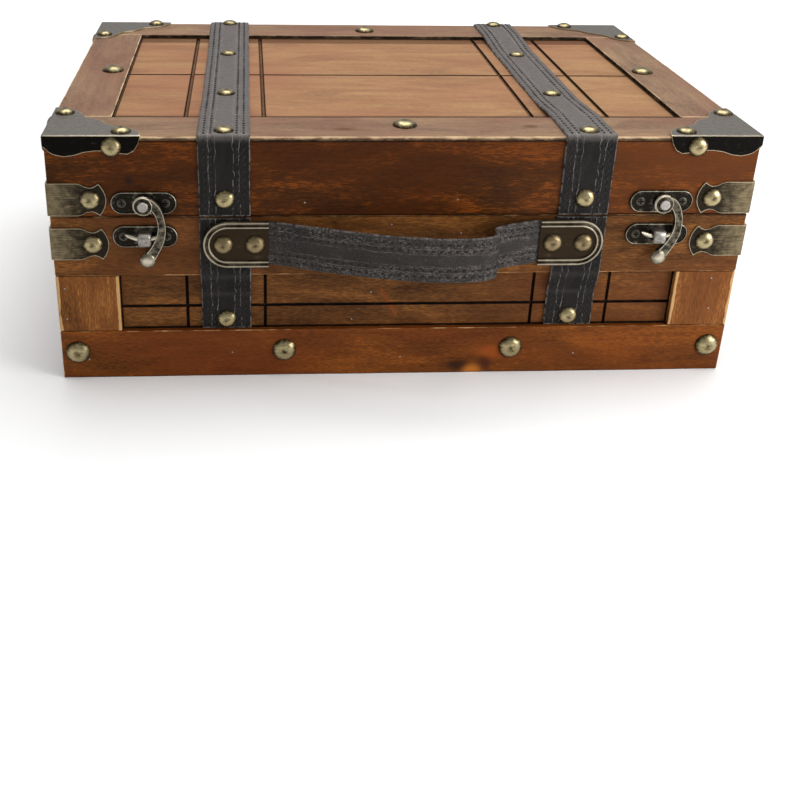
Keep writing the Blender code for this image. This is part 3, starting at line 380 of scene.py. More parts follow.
# %% The box's woods
FRONT = -1000 * HALF_DEPTH
lid_wood = stained_wood(
    "dark_stained_softwood_lid", "#7e410f", "#3d2005", "#1e1205", "#502405",
    [knot(-155, FRONT, 125, 3, "#2c170b")], painted_light_right="#78401a",
)
base_wood = stained_wood(
    "stained_softwood_base", "#885628", "#5e3a1a", "#3c240e", "#643619",
    [knot(-11 + 1.5 * k, FRONT + 4, 54 - 2.5 * k, 1.5, "#7e401a", (1.6, 1, 0.5)) for k in range(7)],
)
stile_wood = stained_wood("stained_softwood_stiles", "#b47a3c", "#72461f", "#40260f", "#7a4522")
back_wood = stained_wood("evenly_stained_ply_back", "#8c4e1a", "#6a3a12", "#4b290d", "#6e3410")
rail_wood = stained_wood(
    "stained_softwood_bottom_rail", "#8c4d19", "#683812", "#46260a", "#6a3010",
    [knot(58, FRONT, 14, 9, "#8a4416", (0.7, 1, 1.5)), knot(38, FRONT, 5, 7, "#351d0e", (0.7, 1, 1.6)),
     knot(53, FRONT, 6, 6, "#4a2410", (1, 1, 1)), knot(46, FRONT, 0, 7, "#b06a28")],
)
# The top's two woods are the walls' stain painted paler and greyer: painted light and sheen from above.
top_wood = stained_wood(
    "softwood_top_painted_lit", "#ae875b", "#9e7552", "#846148", "#986149",
    [knot(-62, 84, 146, 14, "#6b5646", (0.7, 1.5, 8)), knot(110, 40, 146, 26, "#866149", (0.6, 1, 14))],
    rail_shadow=(RAIL_EDGE, 12 * MM, 0.6),
)
frame_wood = stained_wood(
    "softwood_top_frame_painted_lit", "#a0815e", "#896d56", "#6b5345", "#815848",
    [knot(-35, -126, 150, 5, "#684734", (0.7, 1.6, 1)), knot(72, -121, 150, 5, "#684734", (1, 1.5, 1))],
    bare="#d2b48e",
)
print("wood:", lid_wood.name, base_wood.name, rail_wood.name, top_wood.name, frame_wood.name)

# %% [markdown]
# ## Antique bronze and brass
#
# The fittings are pressed steel sheet with a bronze finish: dark patina on the flats, brushed through to
# a yellow metal on rims and bends. `tone` says how much patina a place keeps. The nails are brass-plated
# with grey rubbed crowns. Screws and the little panel pins are darker and lighter steel.

# %% Metals
def worn_metal(name, bright, patina, rim, rough, brushing, blot=3.5, rim_width=0.5):
    """Bright metal under patina, brushed through, with its rims rubbed bare.

    `brushing` is the length and width of a scratch, `blot` the size of a patch and `rim_width` how far the
    rubbing reaches, all in millimetres."""
    material, add = new_material(name)
    edge, tone, grain = marks_of(add)
    scratches = streaks(add, grain, *brushing)
    blots = streaks(add, grain, blot, blot, 4.0)
    mixed = add("Math", (blots, 0.6), operation="MULTIPLY")
    mixed = add("Math", (scratches, 0.6, mixed), operation="MULTIPLY_ADD")
    mixed = add("Math", (mixed, add("Math", (tone, 0.6), operation="SUBTRACT")), operation="ADD")
    kept = add("MapRange", (mixed, 0.20, 0.80), **SMOOTH)
    colour = add("Mix", {0: kept, 6: bright, 7: patina}, **COLOURS)
    worn = add("Math", (blots, 0.5 * rim_width, edge), operation="MULTIPLY_ADD")
    worn = add("MapRange", (worn, 0.3 * rim_width, 1.2 * rim_width, 0.95, 0.0), **SMOOTH)
    colour = add("Mix", {0: worn, 6: colour, 7: rim}, **COLOURS)
    inputs = {"Base Color": colour, "Metallic": 1.0}
    inputs["Roughness"] = add("MapRange", (mixed, 0.1, 0.9, rough, rough + 0.2), **SMOOTH)
    inputs["Normal"] = add("Bump", {"Strength": 0.25, "Distance": 0.1 * MM, "Height": mixed})
    add("OutputMaterial", {"Surface": add("BsdfPrincipled", inputs)})
    return material


bronze = worn_metal("antique_bronze_plated_steel", "#85765b", "#2a251e", "#b3a78d", 0.36, (8, 0.35))
# The latches' bright rim colour is partly rubbed metal and partly painted highlight on the rims and chamfers.
hook_bronze = worn_metal("rubbed_and_highlit_bronze_latches", "#978e7a", "#211e19", "#ddd4be", 0.28, (3, 2), 3.0)
plate_bronze = worn_metal("rubbed_bronze_handle_plates", "#8a7f6c", "#33291e", "#b5ab95", 0.34, (20, 3), 9.0, 0.6)
guard_bronze = worn_metal("grey_bronze_plated_guards", "#868079", "#161412", "#c4b697", 0.40, (5, 0.5))
brass = worn_metal("antique_brass_nails", "#a89a74", "#33291a", "#33291a", 0.27, (2.4, 1.4), 1.8, 0.7)
brown_bronze = worn_metal("brown_bronze_handle_nails", "#8a795a", "#3c3224", "#4a3f2d", 0.30, (2.4, 1.4), 1.8, 0.7)
wire_brass = worn_metal("bronze_plated_wire", "#b5a67c", "#5a503a", "#b5a67c", 0.30, (6, 2))
pale_steel = worn_metal("rubbed_steel", "#a8a49d", "#5a5650", "#bdb8af", 0.40, (3, 1), 3.5, 0.6)
black_steel = worn_metal("blackened_screw_steel", "#4d4a43", "#0c0b0a", "#5a564d", 0.36, (3, 1))
print("metals:", bronze.name, brass.name, wire_brass.name, pale_steel.name, black_steel.name)

# %% [markdown]
# ## Leather
#
# Thin split hide, dyed almost black. Rubbed ridges turn grey and the grain is about a millimetre across.
# Two rows of stitches run along each edge, and the hide is rubbed into wavering pale lines beside them, so
# a strap's `grain` carries the length along it, the place across it and the distance from its edge.

# %% Leather
def dyed_leather(name, worn, mid, deep, flecked):
    """`flecked` is how strongly the stitched bands along both edges are rubbed into grey flecks."""
    material, add = new_material(name)
    edge, tone, grain = marks_of(add)
    inset = add("SeparateXYZ", (grain,)).outputs["Z"]
    fine = {"Vector": grain, "Roughness": 0.7}
    creases = add("TexNoise", {**fine, "Scale": 1000 / 4.0, "Detail": 6.0, "Distortion": 1.0})
    flecks = add("TexNoise", {**fine, "Scale": 1000 / 1.3, "Detail": 3.0})
    pebbles = add("TexVoronoi", {"Vector": grain, "Scale": 1000 / 1.1})
    clouds = add("MapRange", (streaks(add, grain, 30, 12), 0.35, 0.65), **SMOOTH)
    colour = add("Mix", {0: clouds, 6: deep, 7: mid}, **COLOURS)
    # tone greys the hide: wear, and on the straps' and handle's facing runs painted sheen.
    broken = add("MapRange", (creases, 0.3, 0.6, 0.65, 1.0), **SMOOTH)
    colour = add("Mix", {0: add("Math", (tone, broken), operation="MULTIPLY"), 6: colour, 7: worn}, **COLOURS)

    # Two pale lines beside the stitch rows, which stray by up to 1.5 mm.
    strayed = add("Math", (inset, 1.5 * MM), operation="SUBTRACT")
    strayed = add("Math", (streaks(add, grain, 7, 7, 2.0), 3.0 * MM, strayed), operation="MULTIPLY_ADD")
    lines = [add("Math", (strayed, row), operation="SUBTRACT") for row in (6.1 * MM, 9.4 * MM)]
    lines = add("Math", [add("Math", (line,), operation="ABSOLUTE") for line in lines], operation="MINIMUM")
    lines = add("MapRange", (lines, 0.05 * MM, 0.38 * MM, 0.6, 0.0), **SMOOTH)
    rub = add("Math", (lines, add("MapRange", (creases, 0.42, 0.60), **SMOOTH)), operation="MULTIPLY")

    # Flecks on a band along each edge, in patches.
    stray = add("Math", (inset, 11 * MM), operation="SUBTRACT")
    stray = add("Math", (streaks(add, grain, 26, 14, 2.0), 22 * MM, stray), operation="MULTIPLY_ADD")
    band = add("MapRange", (stray, 6 * MM, 11 * MM, flecked, 0.2 * flecked), **SMOOTH)
    band = add("Math", (band, add("MapRange", (flecks, 0.46, 0.62), **SMOOTH)), operation="MULTIPLY")
    patches = add("MapRange", (streaks(add, grain, 9, 5, 2.0), 0.38, 0.60, 0.25, 1.0), **SMOOTH)
    band = add("Math", (band, patches), operation="MULTIPLY")

    rim = add("MapRange", (edge, 0.1, 0.9, 0.7, 0.0), **SMOOTH)
    rim = add("Math", (rim, add("MapRange", (creases, 0.40, 0.60), **SMOOTH)), operation="MULTIPLY")
    grey = add("Math", (rub, add("Math", (band, rim), operation="MAXIMUM")), operation="MAXIMUM")
    colour = add("Mix", {0: grey, 6: colour, 7: worn}, **COLOURS)
    relief = add("Math", (creases, 0.8, pebbles.outputs["Distance"]), operation="MULTIPLY_ADD")
    inputs = {"Base Color": colour, "Specular IOR Level": 0.2}
    inputs["Roughness"] = add("MapRange", (creases, 0.35, 0.65, 0.55, 0.75), **SMOOTH)
    inputs["Normal"] = add("Bump", {"Strength": 0.5, "Distance": 0.35 * MM, "Height": relief})
    add("OutputMaterial", {"Surface": add("BsdfPrincipled", inputs)})
    return material


strap_hide = dyed_leather("dyed_split_leather_straps", "#8e8783", "#1a1614", "#0e0c0a", 0.0)
handle_hide = dyed_leather("dyed_split_leather_handle", "#726b67", "#211c1a", "#141110", 0.7)
thread, add_to_thread = new_material("waxed_thread")
thread_shader = add_to_thread("BsdfPrincipled", {"Base Color": "#0d0b0a", "Roughness": 0.8})
add_to_thread("OutputMaterial", {"Surface": thread_shader})
print("leather:", strap_hide.name, handle_hide.name)

# %% [markdown]
# ## Boards
#
# A board is a box with soft arrises. Its six faces are grids whose lines crowd towards the edges, which
# lets the rounding and the wear follow the arris closely. Grooves are pressed into one face by moving its
# points inwards, and a dark mark is laid wherever stain gathers.

# %% Lines of a board's grids
X, Y, Z = 0, 1, 2
CELL = 6 * MM
ARRIS = 0.8  # radius in millimetres


def stops(low, high, extra=()):
    """Places along a side: crowded near both arrises, about a cell apart between, and at the extra places."""
    near = np.array([0, 0.25, 0.6, 1.1, 1.8, 3.0]) * MM
    near = near[near < 0.45 * (high - low)]
    inner = np.linspace(low + near[-1], high - near[-1], max(2, round((high - low) / CELL) + 1))
    every = np.concatenate([low + near, high - near, inner, [p for p in extra if low < p < high]])
    return np.unique(every.round(6))


print("a 400 mm side has", len(stops(0, 0.4)), "lines")

# %% Board tools
boards_made = []


def board_grids(low, high, grain, marks=(), dark_faces=(), kept=0.9, joints=(0, 0), fade=0.6 * MM):
    """Six grids of a board from corner to corner.

    Rounding: a point is pulled to the nearest point of a box smaller by the arris radius, then pushed back
    out by that radius. A mark is (face axis, face end, across axis, place, half width, depth, start, stop).
    `kept` adds to the edge distances, for all axes or one by one, so the larger it is, the less the stain is
    rubbed off. `joints` is how many millimetres the dirt of the joints below and above spreads over the
    side faces."""
    low, high = np.array(low), np.array(high)
    extra = [[], [], []]
    for axis, _, across, place, half, _, start, stop in marks:
        extra[across] += [place + s * w for s in (-1, 1) for w in (half + fade, half, half - 0.2 * MM, 0.4 * half)]
        extra[3 - across - axis] += [start, start + 0.3 * MM, stop - 0.3 * MM, stop]
    places = [stops(low[k], high[k], extra[k]) for k in range(3)]
    others = [k for k in range(3) if k != grain]
    shift = len(boards_made) * np.array([0.413, 0.127, 0.291])  # every board is cut from another part of the wood
    grids = []
    for axis in range(3):
        a, b = [k for k in range(3) if k != axis]
        for end, face in ((0, low[axis]), (1, high[axis])):
            at = np.empty((len(places[a]), len(places[b]), 3))
            at[..., a], at[..., b], at[..., axis] = places[a][:, None], places[b], face
            edge = np.sort(np.minimum(at - low, high - at) / MM + kept, axis=-1)[..., 1]
            # Listed faces go almost black: stain, and on the walls round the sunk top panel painted shade.
            tone = np.full(at.shape[:-1], 0.95 if (axis, end) in dark_faces else 0.0)
            if axis != Z:
                for spread, gone in zip(joints, (at[..., Z] - low[Z], high[Z] - at[..., Z])):
                    tone = np.maximum(tone, np.clip((spread - gone / MM) / 0.7, 0, 1))
            radius = (ARRIS * (0.8 + 0.5 * wobble(at, 60 * MM)) * MM)[..., None]
            core = np.clip(at, low + radius, high - radius)
            away = at - core
            drop = np.zeros(at.shape[:-1])
            for mark_axis, mark_end, across, place, half, depth, start, stop in marks:
                if (mark_axis, mark_end) == (axis, end):
                    off = abs(at[..., across] - place)
                    run = at[..., 3 - across - axis]
                    held = (run > start) & (run < stop)
                    dark = np.clip((half + fade - off) / fade, 0, 1)
                    dark *= 1 - 0.45 * (off < 0.45 * half) * (mark_axis == Z)
                    tone = np.maximum(tone, held * dark)
                    drop = np.maximum(drop, np.where(held & (off < half - 0.1 * MM), depth, 0))
            at = core + away * (radius / np.linalg.norm(away, axis=-1, keepdims=True))
            at[..., axis] += drop * (1 if end == 0 else -1)
            own = np.stack([at[..., grain], at[..., others[0]], at[..., others[1]]], -1)
            grids.append(grid(at, edge, tone, own + shift))
    return grids


def dress_board(node, grain, material, body, slot, top=None, **shape):
    """The board that stands for one solid. Its box is the solid's own, less a nail head where top is given."""
    low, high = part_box(node)
    grids = board_grids(low, (high.x, high.y, top or high.z), grain, **shape)
    boards_made.append(node)
    build(node + "_finished", grids, material, body, slot, replaces=(node,))


print(f"arrises are rounded by about {ARRIS} mm")

# %% [markdown]
# ## The top
#
# The top panel is one thin board with sawn grooves that make it look like several planks. A flat frame
# stands proud of it all round, so the panel looks sunk. The dark line where they meet is laid on both as a
# mark with no depth. The frame's inner walls are painted dark as shade, and the panel is painted darker
# along its rails as their shadow.

# %% Top panel and frame
strap_middle, strap_half = measure("right_lid_strap")
STRAP_X, STRAP_HALF = strap_middle[X], strap_half[X]
GROOVE_FAR, GROOVE_DEEP = STRAP_HALF + 8.3 * MM, 1.2 * MM  # from the middle of a strap, and into the board
GROOVES = [side * STRAP_X + far for side in (-1, 1) for far in (-GROOVE_FAR, GROOVE_FAR)]
stile_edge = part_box("lid_right_stile")[0].x
top_marks = [(Z, 1, X, x, 1.1 * MM, GROOVE_DEEP, -RAIL_EDGE, RAIL_EDGE) for x in GROOVES]
top_marks += [(Z, 1, Y, 0.0, 0.9 * MM, GROOVE_DEEP, -stile_edge, stile_edge)]
top_marks += [(Z, 1, X, s * stile_edge, 0.5 * MM, 0.0, -0.2, 0.2) for s in (-1, 1)]
top_marks += [(Z, 1, Y, s * RAIL_EDGE, 0.3 * MM, 0.0, -0.3, 0.3) for s in (-1, 1)]
all_but_front = ((Y, 1), (X, 0), (X, 1))
dress_board("lid_top_panel", X, top_wood, "lid", "top_wood", marks=top_marks, dark_faces=all_but_front)

lap = 1000 * (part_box("lid_front_board")[1].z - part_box("lid_front_rail")[0].z)
rails = (
    ("lid_front_rail", -1, all_but_front, 1.2 * MM, 1.8),
    # The back rail's inner wall, which faces the front, is painted dark as shade.
    ("lid_back_rail", 1, ((Y, 0), *all_but_front), 0.1 * MM, 0.4),
)
for node, far, dark, half, stained in rails:
    inner = [(Z, 1, Y, far * RAIL_EDGE, half, 0.0, -stile_edge, stile_edge)]
    shape = {"marks": inner, "dark_faces": dark, "kept": 0.0, "joints": (lap + stained, 0)}
    dress_board(node, X, frame_wood, "lid", "top_wood", FRAME_TOP, **shape)
for word, _ in SIDES:
    shape = {"dark_faces": ((X, 0), (X, 1)), "kept": -0.1, "joints": (1.6, 0)}
    dress_board(f"lid_{word}_stile", Y, frame_wood, "lid", "top_wood", FRAME_TOP, **shape)
print("grooves at", [round(1000 * x, 1) for x in GROOVES])

# %% [markdown]
# ## The walls
#
# Lid and base walls are plain boards with the grain lying along each face. On the front of the base, two
# rails and two upright stiles are applied over a grooved board, and dark stain fills the corners where
# they meet it.

# %% Walls, front rails and stiles
for node in ("lid_front_board", "lid_back_board"):
    dress_board(node, X, lid_wood, "lid", "stained_wood", joints=(0.9, 0.9))
for node in ("lid_left_board", "lid_right_board"):
    dress_board(node, Y, lid_wood, "lid", "stained_wood", joints=(0.9, 0.9))
for node in ("base_left_board", "base_right_board"):
    dress_board(node, Y, base_wood, "base", "stained_wood", joints=(1, 0.9))
dress_board("base_back_board", X, back_wood, "base", "stained_wood", joints=(1, 1.2))
dress_board("base_upper_rail", X, base_wood, "base", "stained_wood", kept=0.3, joints=(0, 0.9))

inner_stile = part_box("base_right_stile")[0].x
cross = RAIL_TOP + 14.4 * MM
front_marks = [(Y, 0, X, x, 0.8 * MM, GROOVE_DEEP, RAIL_TOP, RAIL_BOTTOM) for x in GROOVES]
front_marks += [(Y, 0, Z, cross, 0.8 * MM, GROOVE_DEEP, -inner_stile, inner_stile)]
front_marks += [(Y, 0, X, s * inner_stile, 0.8 * MM, 0.0, 0.0, 1.0) for s in (-1, 1)]
front_marks += [(Y, 0, Z, z, 0.8 * MM, 0.0, -1.0, 1.0) for z in (RAIL_TOP, RAIL_BOTTOM)]
dress_board("base_front_board", X, base_wood, "base", "stained_wood", marks=front_marks, fade=0.35 * MM)
dress_board("base_bottom_rail", X, rail_wood, "base", "stained_wood", kept=0.4, joints=(0.8, 0))
rubbed_sides = np.array([-1.3, 0.0, 1.2])  # bare at the left and right, stained at both ends
for word, _ in SIDES:
    dress_board(f"base_{word}_stile", Z, stile_wood, "base", "stained_wood", kept=rubbed_sides)
dress_board("bottom_board", X, base_wood, "base", "stained_wood", dark_faces=all_but_front)
print(len(boards_made), "boards")

# %% [markdown]
# ## Domed nails, screws and pins
#
# A nail head is a flattened dome: its height falls with the cube of the distance from the centre, down to
# a thin rim. All heads of a body are worked out at once, as one stack of grids. `tone` is high in the middle
# and at the foot, where the plating stays dark, and low on the rubbed ring between.

# %% Nail heads
ACROSS_A_NAIL = np.array([0, 0.12, 0.25, 0.4, 0.55, 0.68, 0.8, 0.9, 0.97, 1.0, 1.0])
RIM = 0.16  # height of a nail's rim, as a share of the dome's


def heads(places, size, face):
    """Domes. r runs out from the centre and the angle goes round; out = height (1 - (1 - RIM) r^3)."""
    places = np.array(places, float)
    radius, height = size
    share = ACROSS_A_NAIL
    rise = np.append(height * (1 - (1 - RIM) * share[:-1] ** 3), -0.3 * MM)
    angle = np.linspace(0, 2 * np.pi, 25)
    across = share[:, None] * radius * np.cos(angle)
    up = share[:, None] * radius * np.sin(angle)
    centre = places[:, None, None, :]
    local = room(across, up, 0.0)[None] + np.arange(len(places))[:, None, None, None] * 37 * MM + places[0, 0]
    rise = rise[:, None] * (1 + 0.05 * wobble(local, 6 * MM) * (share < 1)[:, None])
    at = face(centre[..., 0] + across, centre[..., 1] + up, centre[..., 2] + rise)
    at[:, :, -1] = at[:, :, 0]
    tone = np.interp(share, [0, 0.3, 0.5, 0.7, 0.95], [0.66, 0.45, 0.22, 0.30, 0.72])[:, None]
    return [grid(at, 9.0, np.broadcast_to(tone, at.shape[:-1]), local)]


print("a nail head has", ACROSS_A_NAIL.size * 25, "points")

# %% Screws
SCREW, SCREW_HEIGHT = 2.5 * MM, 0.7 * MM


def screws(places, face):
    """Low domes with a cross recess: the middle part within a bar's half width of either axis is sunk."""
    places = np.array(places, float)
    share = np.array([0, 0.08, 0.16, 0.24, 0.32, 0.42, 0.5, 0.58, 0.64, 0.8, 0.93, 1.0, 1.0])
    angle = np.linspace(0, 2 * np.pi, 49)
    across, up = share[:, None] * SCREW * np.cos(angle), share[:, None] * SCREW * np.sin(angle)
    bar = np.minimum(abs(across), abs(up)) < 0.13 * SCREW
    sunk = bar & (share[:, None] < 0.6)
    rise = SCREW_HEIGHT * (1 - 0.6 * share[:, None] ** 2) - SCREW_HEIGHT * sunk
    rise[-1] = -0.2 * MM
    centre = places[:, None, None, :]
    at = face(centre[..., 0] + across, centre[..., 1] + up, centre[..., 2] + rise)
    at[:, :, -1] = at[:, :, 0]
    edge = np.broadcast_to((1 - share[:, None]) * SCREW / MM, at.shape[:-1])
    return [grid(at, edge, np.broadcast_to(0.4 + 0.6 * sunk, at.shape[:-1]), at)]


print(f"a screw head is {2 * SCREW / MM:.0f} mm wide")

# %% Nails in the boards and straps
LEATHER = 1.4 * MM
STRAP_OUT = SEAT + LEATHER
FRONT_SUNK = 4.3 * MM  # how far the grooved front board lies behind the rails
NAIL_RISE = {"lid": 10.5 * MM, "base": 6.2 * MM}  # of a strap's nail over the edge below it
SUNK_NAIL = 50 * MM  # from the middle of the top
RAIL_NAIL, STILE_NAIL, STRAP_EDGE_NAIL = 21.2 * MM, 23 * MM, 6.2 * MM  # from the edge of the top
BOTTOM_NAILS, BOTTOM_NAIL_UP = (-190.5, -68.5, 68.5, 190.5), 17.5 * MM  # along in millimetres, and up

lid_nails = heads([(0, s * (HALF_DEPTH - RAIL_NAIL), 0) for s in (-1, 1)], LARGE_NAIL, on_top)
lid_nails += heads([(s * (HALF_WIDTH - STILE_NAIL), 0, 0) for s in (-1, 1)], LARGE_NAIL, on_top)
for face in (on_front, on_back):
    spots = [(s * STRAP_X, LID_BOTTOM + NAIL_RISE["lid"], STRAP_OUT) for s in (-1, 1)]
    lid_nails += heads(spots, STRAP_NAIL, face)
panel_out = STRAP_OUT + PANEL_TOP - FRAME_TOP
corners = [(s, e) for s in (-1, 1) for e in (-1, 1)]
edge_spots = [(s * STRAP_X, e * (HALF_DEPTH - STRAP_EDGE_NAIL), STRAP_OUT) for s, e in corners]
panel_spots = [(s * STRAP_X, e * SUNK_NAIL, panel_out) for s, e in corners]
lid_nails += heads(edge_spots + panel_spots, STRAP_NAIL, on_top)
spots = [(s * STRAP_X, RAIL_TOP + NAIL_RISE["base"], STRAP_OUT - FRONT_SUNK) for s in (-1, 1)]
base_nails = heads(spots, STRAP_NAIL, on_front)
spots = [(x * MM, BOTTOM_NAIL_UP, SEAT) for x in BOTTOM_NAILS]
nodes = [f"bottom_rail_nail_{k}" for k in (1, 2, 3, 4)]
build("bottom_rail_nails", heads(spots, LARGE_NAIL, on_front), brass, "base", "nail_brass", nodes)

# %% [markdown]
# ## Straps
#
# A strap is one flat section carried along a path: up the front of the lid, over the edge, down a long
# ramp to the nail in the sunk panel, and the same at the back. The path is drawn with straight runs, then
# smoothed so that hide bends rather than folds. The stitches are small closed beads of thread laid in
# shallow channels.

# %% Paths
def eased(corners, passes, step):
    """Points a step apart on the straight runs, each then moved towards its neighbours a number of times."""
    corners = np.array(corners, float)
    reach = np.append(0, np.cumsum(np.linalg.norm(np.diff(corners, axis=0), axis=1)))
    places = np.linspace(0, reach[-1], round(reach[-1] / step) + 1)
    path = np.stack([np.interp(places, reach, corners[:, k]) for k in (0, 1)], -1)
    for _ in range(passes):
        path[1:-1] = (path[:-2] + 2 * path[1:-1] + path[2:]) / 4
    return path


def measured(path):
    """Length along a path, and the direction to its left at each point."""
    run = np.gradient(path, axis=0)
    run /= np.linalg.norm(run, axis=1, keepdims=True)
    length = np.append(0, np.cumsum(np.linalg.norm(np.diff(path, axis=0), axis=1)))
    return length, np.stack([-run[:, 1], run[:, 0]], -1)


ROWS = (3.5 * MM, 7.3 * MM)  # of stitches, from each edge of a strap
CREASE = 1.7 * MM  # from each edge too
print("row places:", [round(1000 * (STRAP_HALF - row), 1) for row in ROWS], "mm from the middle")

# %% Strap tools
def strap_grids(path, half, thick, into_room, sheen_and_wear):
    """The strap's section at each point of the path, closed at both ends.

    Height over the width: full thickness, less a round shoulder at each edge, a crease near it and a shallow
    channel under each stitch row, both bell curves, plus a slow ripple along the length. The last argument is
    how grey the runs that look along the path's second axis are made: wear, and painted sheen from the light
    there; bends get some as painted highlight, and less reaches the edges, which stay dark as painted shade."""
    length, normal = measured(path)
    flat = np.linspace(-half + 0.4 * MM, half - 0.4 * MM, 53)
    width = np.concatenate([[-half, -half + 0.15 * MM], flat, [half - 0.15 * MM, half]])
    inset = half - abs(width)
    rise = thick * (1 - 0.5 * np.exp(-inset / (0.3 * MM)))
    for row in ROWS:
        rise -= 0.30 * MM * np.exp(-((inset - row) / (0.55 * MM)) ** 2)
    rise -= 0.22 * MM * np.exp(-((inset - CREASE) / (0.4 * MM)) ** 2)
    width, rise = np.append(width, [half, -half, -half]), np.append(rise, [0.0, 0.0, rise[0]])
    inset = np.append(inset, [0, 0, 0])
    upper = rise > 0.3 * thick
    spot = room(length[:, None], width, 0.0)
    ripple = 0.14 * MM * wobble(spot, 9 * MM) + 0.16 * MM * wobble(spot + 0.2, 31 * MM)
    out = rise + upper * ripple
    sway = width * (1 + 0.012 * wobble(spot[:, :1] + 0.5, 26 * MM))
    at = into_room(path[:, None, 0] + normal[:, None, 0] * out, path[:, None, 1] + normal[:, None, 1] * out, sway)
    ends = np.minimum(length, length[-1] - length)[:, None]
    bend = np.linalg.norm(np.gradient(normal, axis=0), axis=1)[:, None]
    # Runs that face the path's second axis and bends are greyed as painted sheen and highlight, mixed with wear;
    # the edges get less, as painted shade.
    level = np.clip(normal[:, 1:], 0, 1) ** 2
    tone = sheen_and_wear * (level + np.clip(3 * bend, 0, 0.4)) * np.clip(0.3 + inset / (1.6 * MM), 0, 1)
    marks = [np.minimum(inset, ends) / MM, np.clip(tone, 0, 1), room(length[:, None], width, inset)]
    closed = [np.broadcast_to(at[k].mean(0), at[k].shape)[None] for k in (0, -1)]
    at = np.concatenate([closed[0], at, closed[1]])
    return [grid(at, *(np.concatenate([mark[:1], mark, mark[-1:]]) for mark in marks))]


def stitch_grids(path, half, thick, into_room, margin, pitch):
    """Every stitch of the four rows: a bead half a pitch long that swells and closes along the path."""
    length, normal = measured(path)
    middle = np.arange(margin + pitch / 2, length[-1] - margin - pitch / 2, pitch)
    swell = np.linspace(-1, 1, 7)
    angle = np.linspace(0, 2 * np.pi, 7)
    ring = 0.85 * MM * np.sqrt(1 - swell**4)[:, None]
    spot = middle[:, None, None] + 0.24 * pitch * swell[:, None] + 0 * angle
    rise = thick - 0.28 * MM + 0.62 * ring * np.sin(angle)
    here = [np.interp(spot, length, column) for column in (*path.T, *normal.T)]
    grids = []
    for across in (side * (half - row) for side in (-1, 1) for row in ROWS):
        width = across + ring * np.cos(angle)
        at = into_room(here[0] + here[2] * rise, here[1] + here[3] * rise, width)
        at[..., -1, :] = at[..., 0, :]
        grids.append(grid(at))
    return grids


def beside(side):
    """The plane through the middle of a strap: along and up it, and across to its edges."""
    def place(along, up, across):
        return room(side * STRAP_X + across, along, up)

    return place


print(f"straps are {2 * STRAP_HALF / MM:.0f} mm wide")

# %% Lid and base straps
LID_RAMP, BASE_RAMP = 40 * MM, 13 * MM
wall, top = -HALF_DEPTH - SEAT, FRAME_TOP + SEAT
half_path = [
    (wall, LID_BOTTOM + 0.6 * MM), (wall, top), (-RAIL_EDGE, top), (-RAIL_EDGE + LID_RAMP, PANEL_TOP + SEAT),
]
lid_path = eased(half_path + [(-y, z) for y, z in reversed(half_path)], 4, 0.8 * MM)
sunk = -HALF_DEPTH + FRONT_SUNK - SEAT
base_path = [
    (sunk, RAIL_TOP + SEAT), (sunk, RAIL_BOTTOM - BASE_RAMP),
    (wall, RAIL_BOTTOM - SEAT), (wall, BASE_TOP - 0.6 * MM),
]
base_path = eased(base_path, 3, 0.8 * MM)
for word, side in SIDES:
    for path, body, sheen_and_wear in ((lid_path, "lid", 0.5), (base_path, "base", 0.2)):
        name = f"{word}_{body}_strap"
        grids = strap_grids(path, STRAP_HALF, LEATHER, beside(side), sheen_and_wear)
        build(f"{name}_leather", grids, strap_hide, body, "dark_leather", [name], sharp=50)
        threads = stitch_grids(path, STRAP_HALF, LEATHER, beside(side), 2 * MM, 4.4 * MM)
        build(f"{name}_stitching", threads, thread, body, "dark_leather")

# %% [markdown]
# ## Handle
#
# The handle is a doubled strap, pinned under a D-shaped plate at each end. It has been carried so long
# that it bows out in the middle and has a hard fold towards the right. The plates have two raised
# beads round the D, a flat floor and two domed nails.

# %% Handle strap
(PLATE_X, _, PLATE_Z), (plate_half_long, _, PLATE_HALF) = measure("right_handle_plate")
PLATE_LONG = 2 * plate_half_long
HIDE, HIDE_HALF = 2.0 * MM, 13.2 * MM
BOW_OUT = 27  # millimetres
held = 2 * SEAT + LEATHER
span = PLATE_X - PLATE_LONG / 2
ends = span + PLATE_LONG / 2 + 6 * MM

# Along the strap as a share of the span, and out as a share of the bow.
BOW = [
    (-0.90, 0.08), (-0.71, 0.29), (-0.50, 0.50), (-0.25, 0.73), (0.0, 0.90),
    (0.22, 0.99), (0.42, 0.99), (0.54, 0.93), (0.605, 0.84), (0.626, 0.76),
    (0.622, 0.50), (0.645, 0.40), (0.70, 0.30), (0.78, 0.20), (0.90, 0.08),
]
bowed = [(along * span, held + out * BOW_OUT * MM) for along, out in BOW]
handle_path = eased([(-ends, held), (-span, held), *bowed, (span, held), (ends, held)], 4, 0.8 * MM)


def handle_room(across, out, up):
    return on_front(across, PLATE_Z + up, out)


grids = strap_grids(handle_path, HIDE_HALF, HIDE, handle_room, 0.1)
build("handle_strap", grids, handle_hide, "base", "dark_leather", ["handle_leather"], sharp=50)
threads = stitch_grids(handle_path, HIDE_HALF, HIDE, handle_room, ends - span + 2 * MM, 4.5 * MM)
build("handle_stitching", threads, thread, "base", "dark_leather")
print(f"handle strap {1000 * measured(handle_path)[0][-1]:.0f} mm long")

# %% Handle plates
PLATE_INSETS = np.array([
    0, 0.05, 0.2, 0.5, 0.95, 1.4, 1.7, 1.85, 2.0, 2.3, 2.6, 2.75,
    2.9, 3.2, 3.6, 4.0, 4.3, 4.45, 4.6, 5.4, 7, 9, 12, 14.2,
]) * MM
BEADS = ((0.95 * MM, 0.95 * MM), (3.6 * MM, 0.85 * MM))  # inset of the crest, and half width
PAIR_INWARDS, PAIR_HALF = 2 * MM, 9 * MM  # shift of the two nails, and half the distance between them


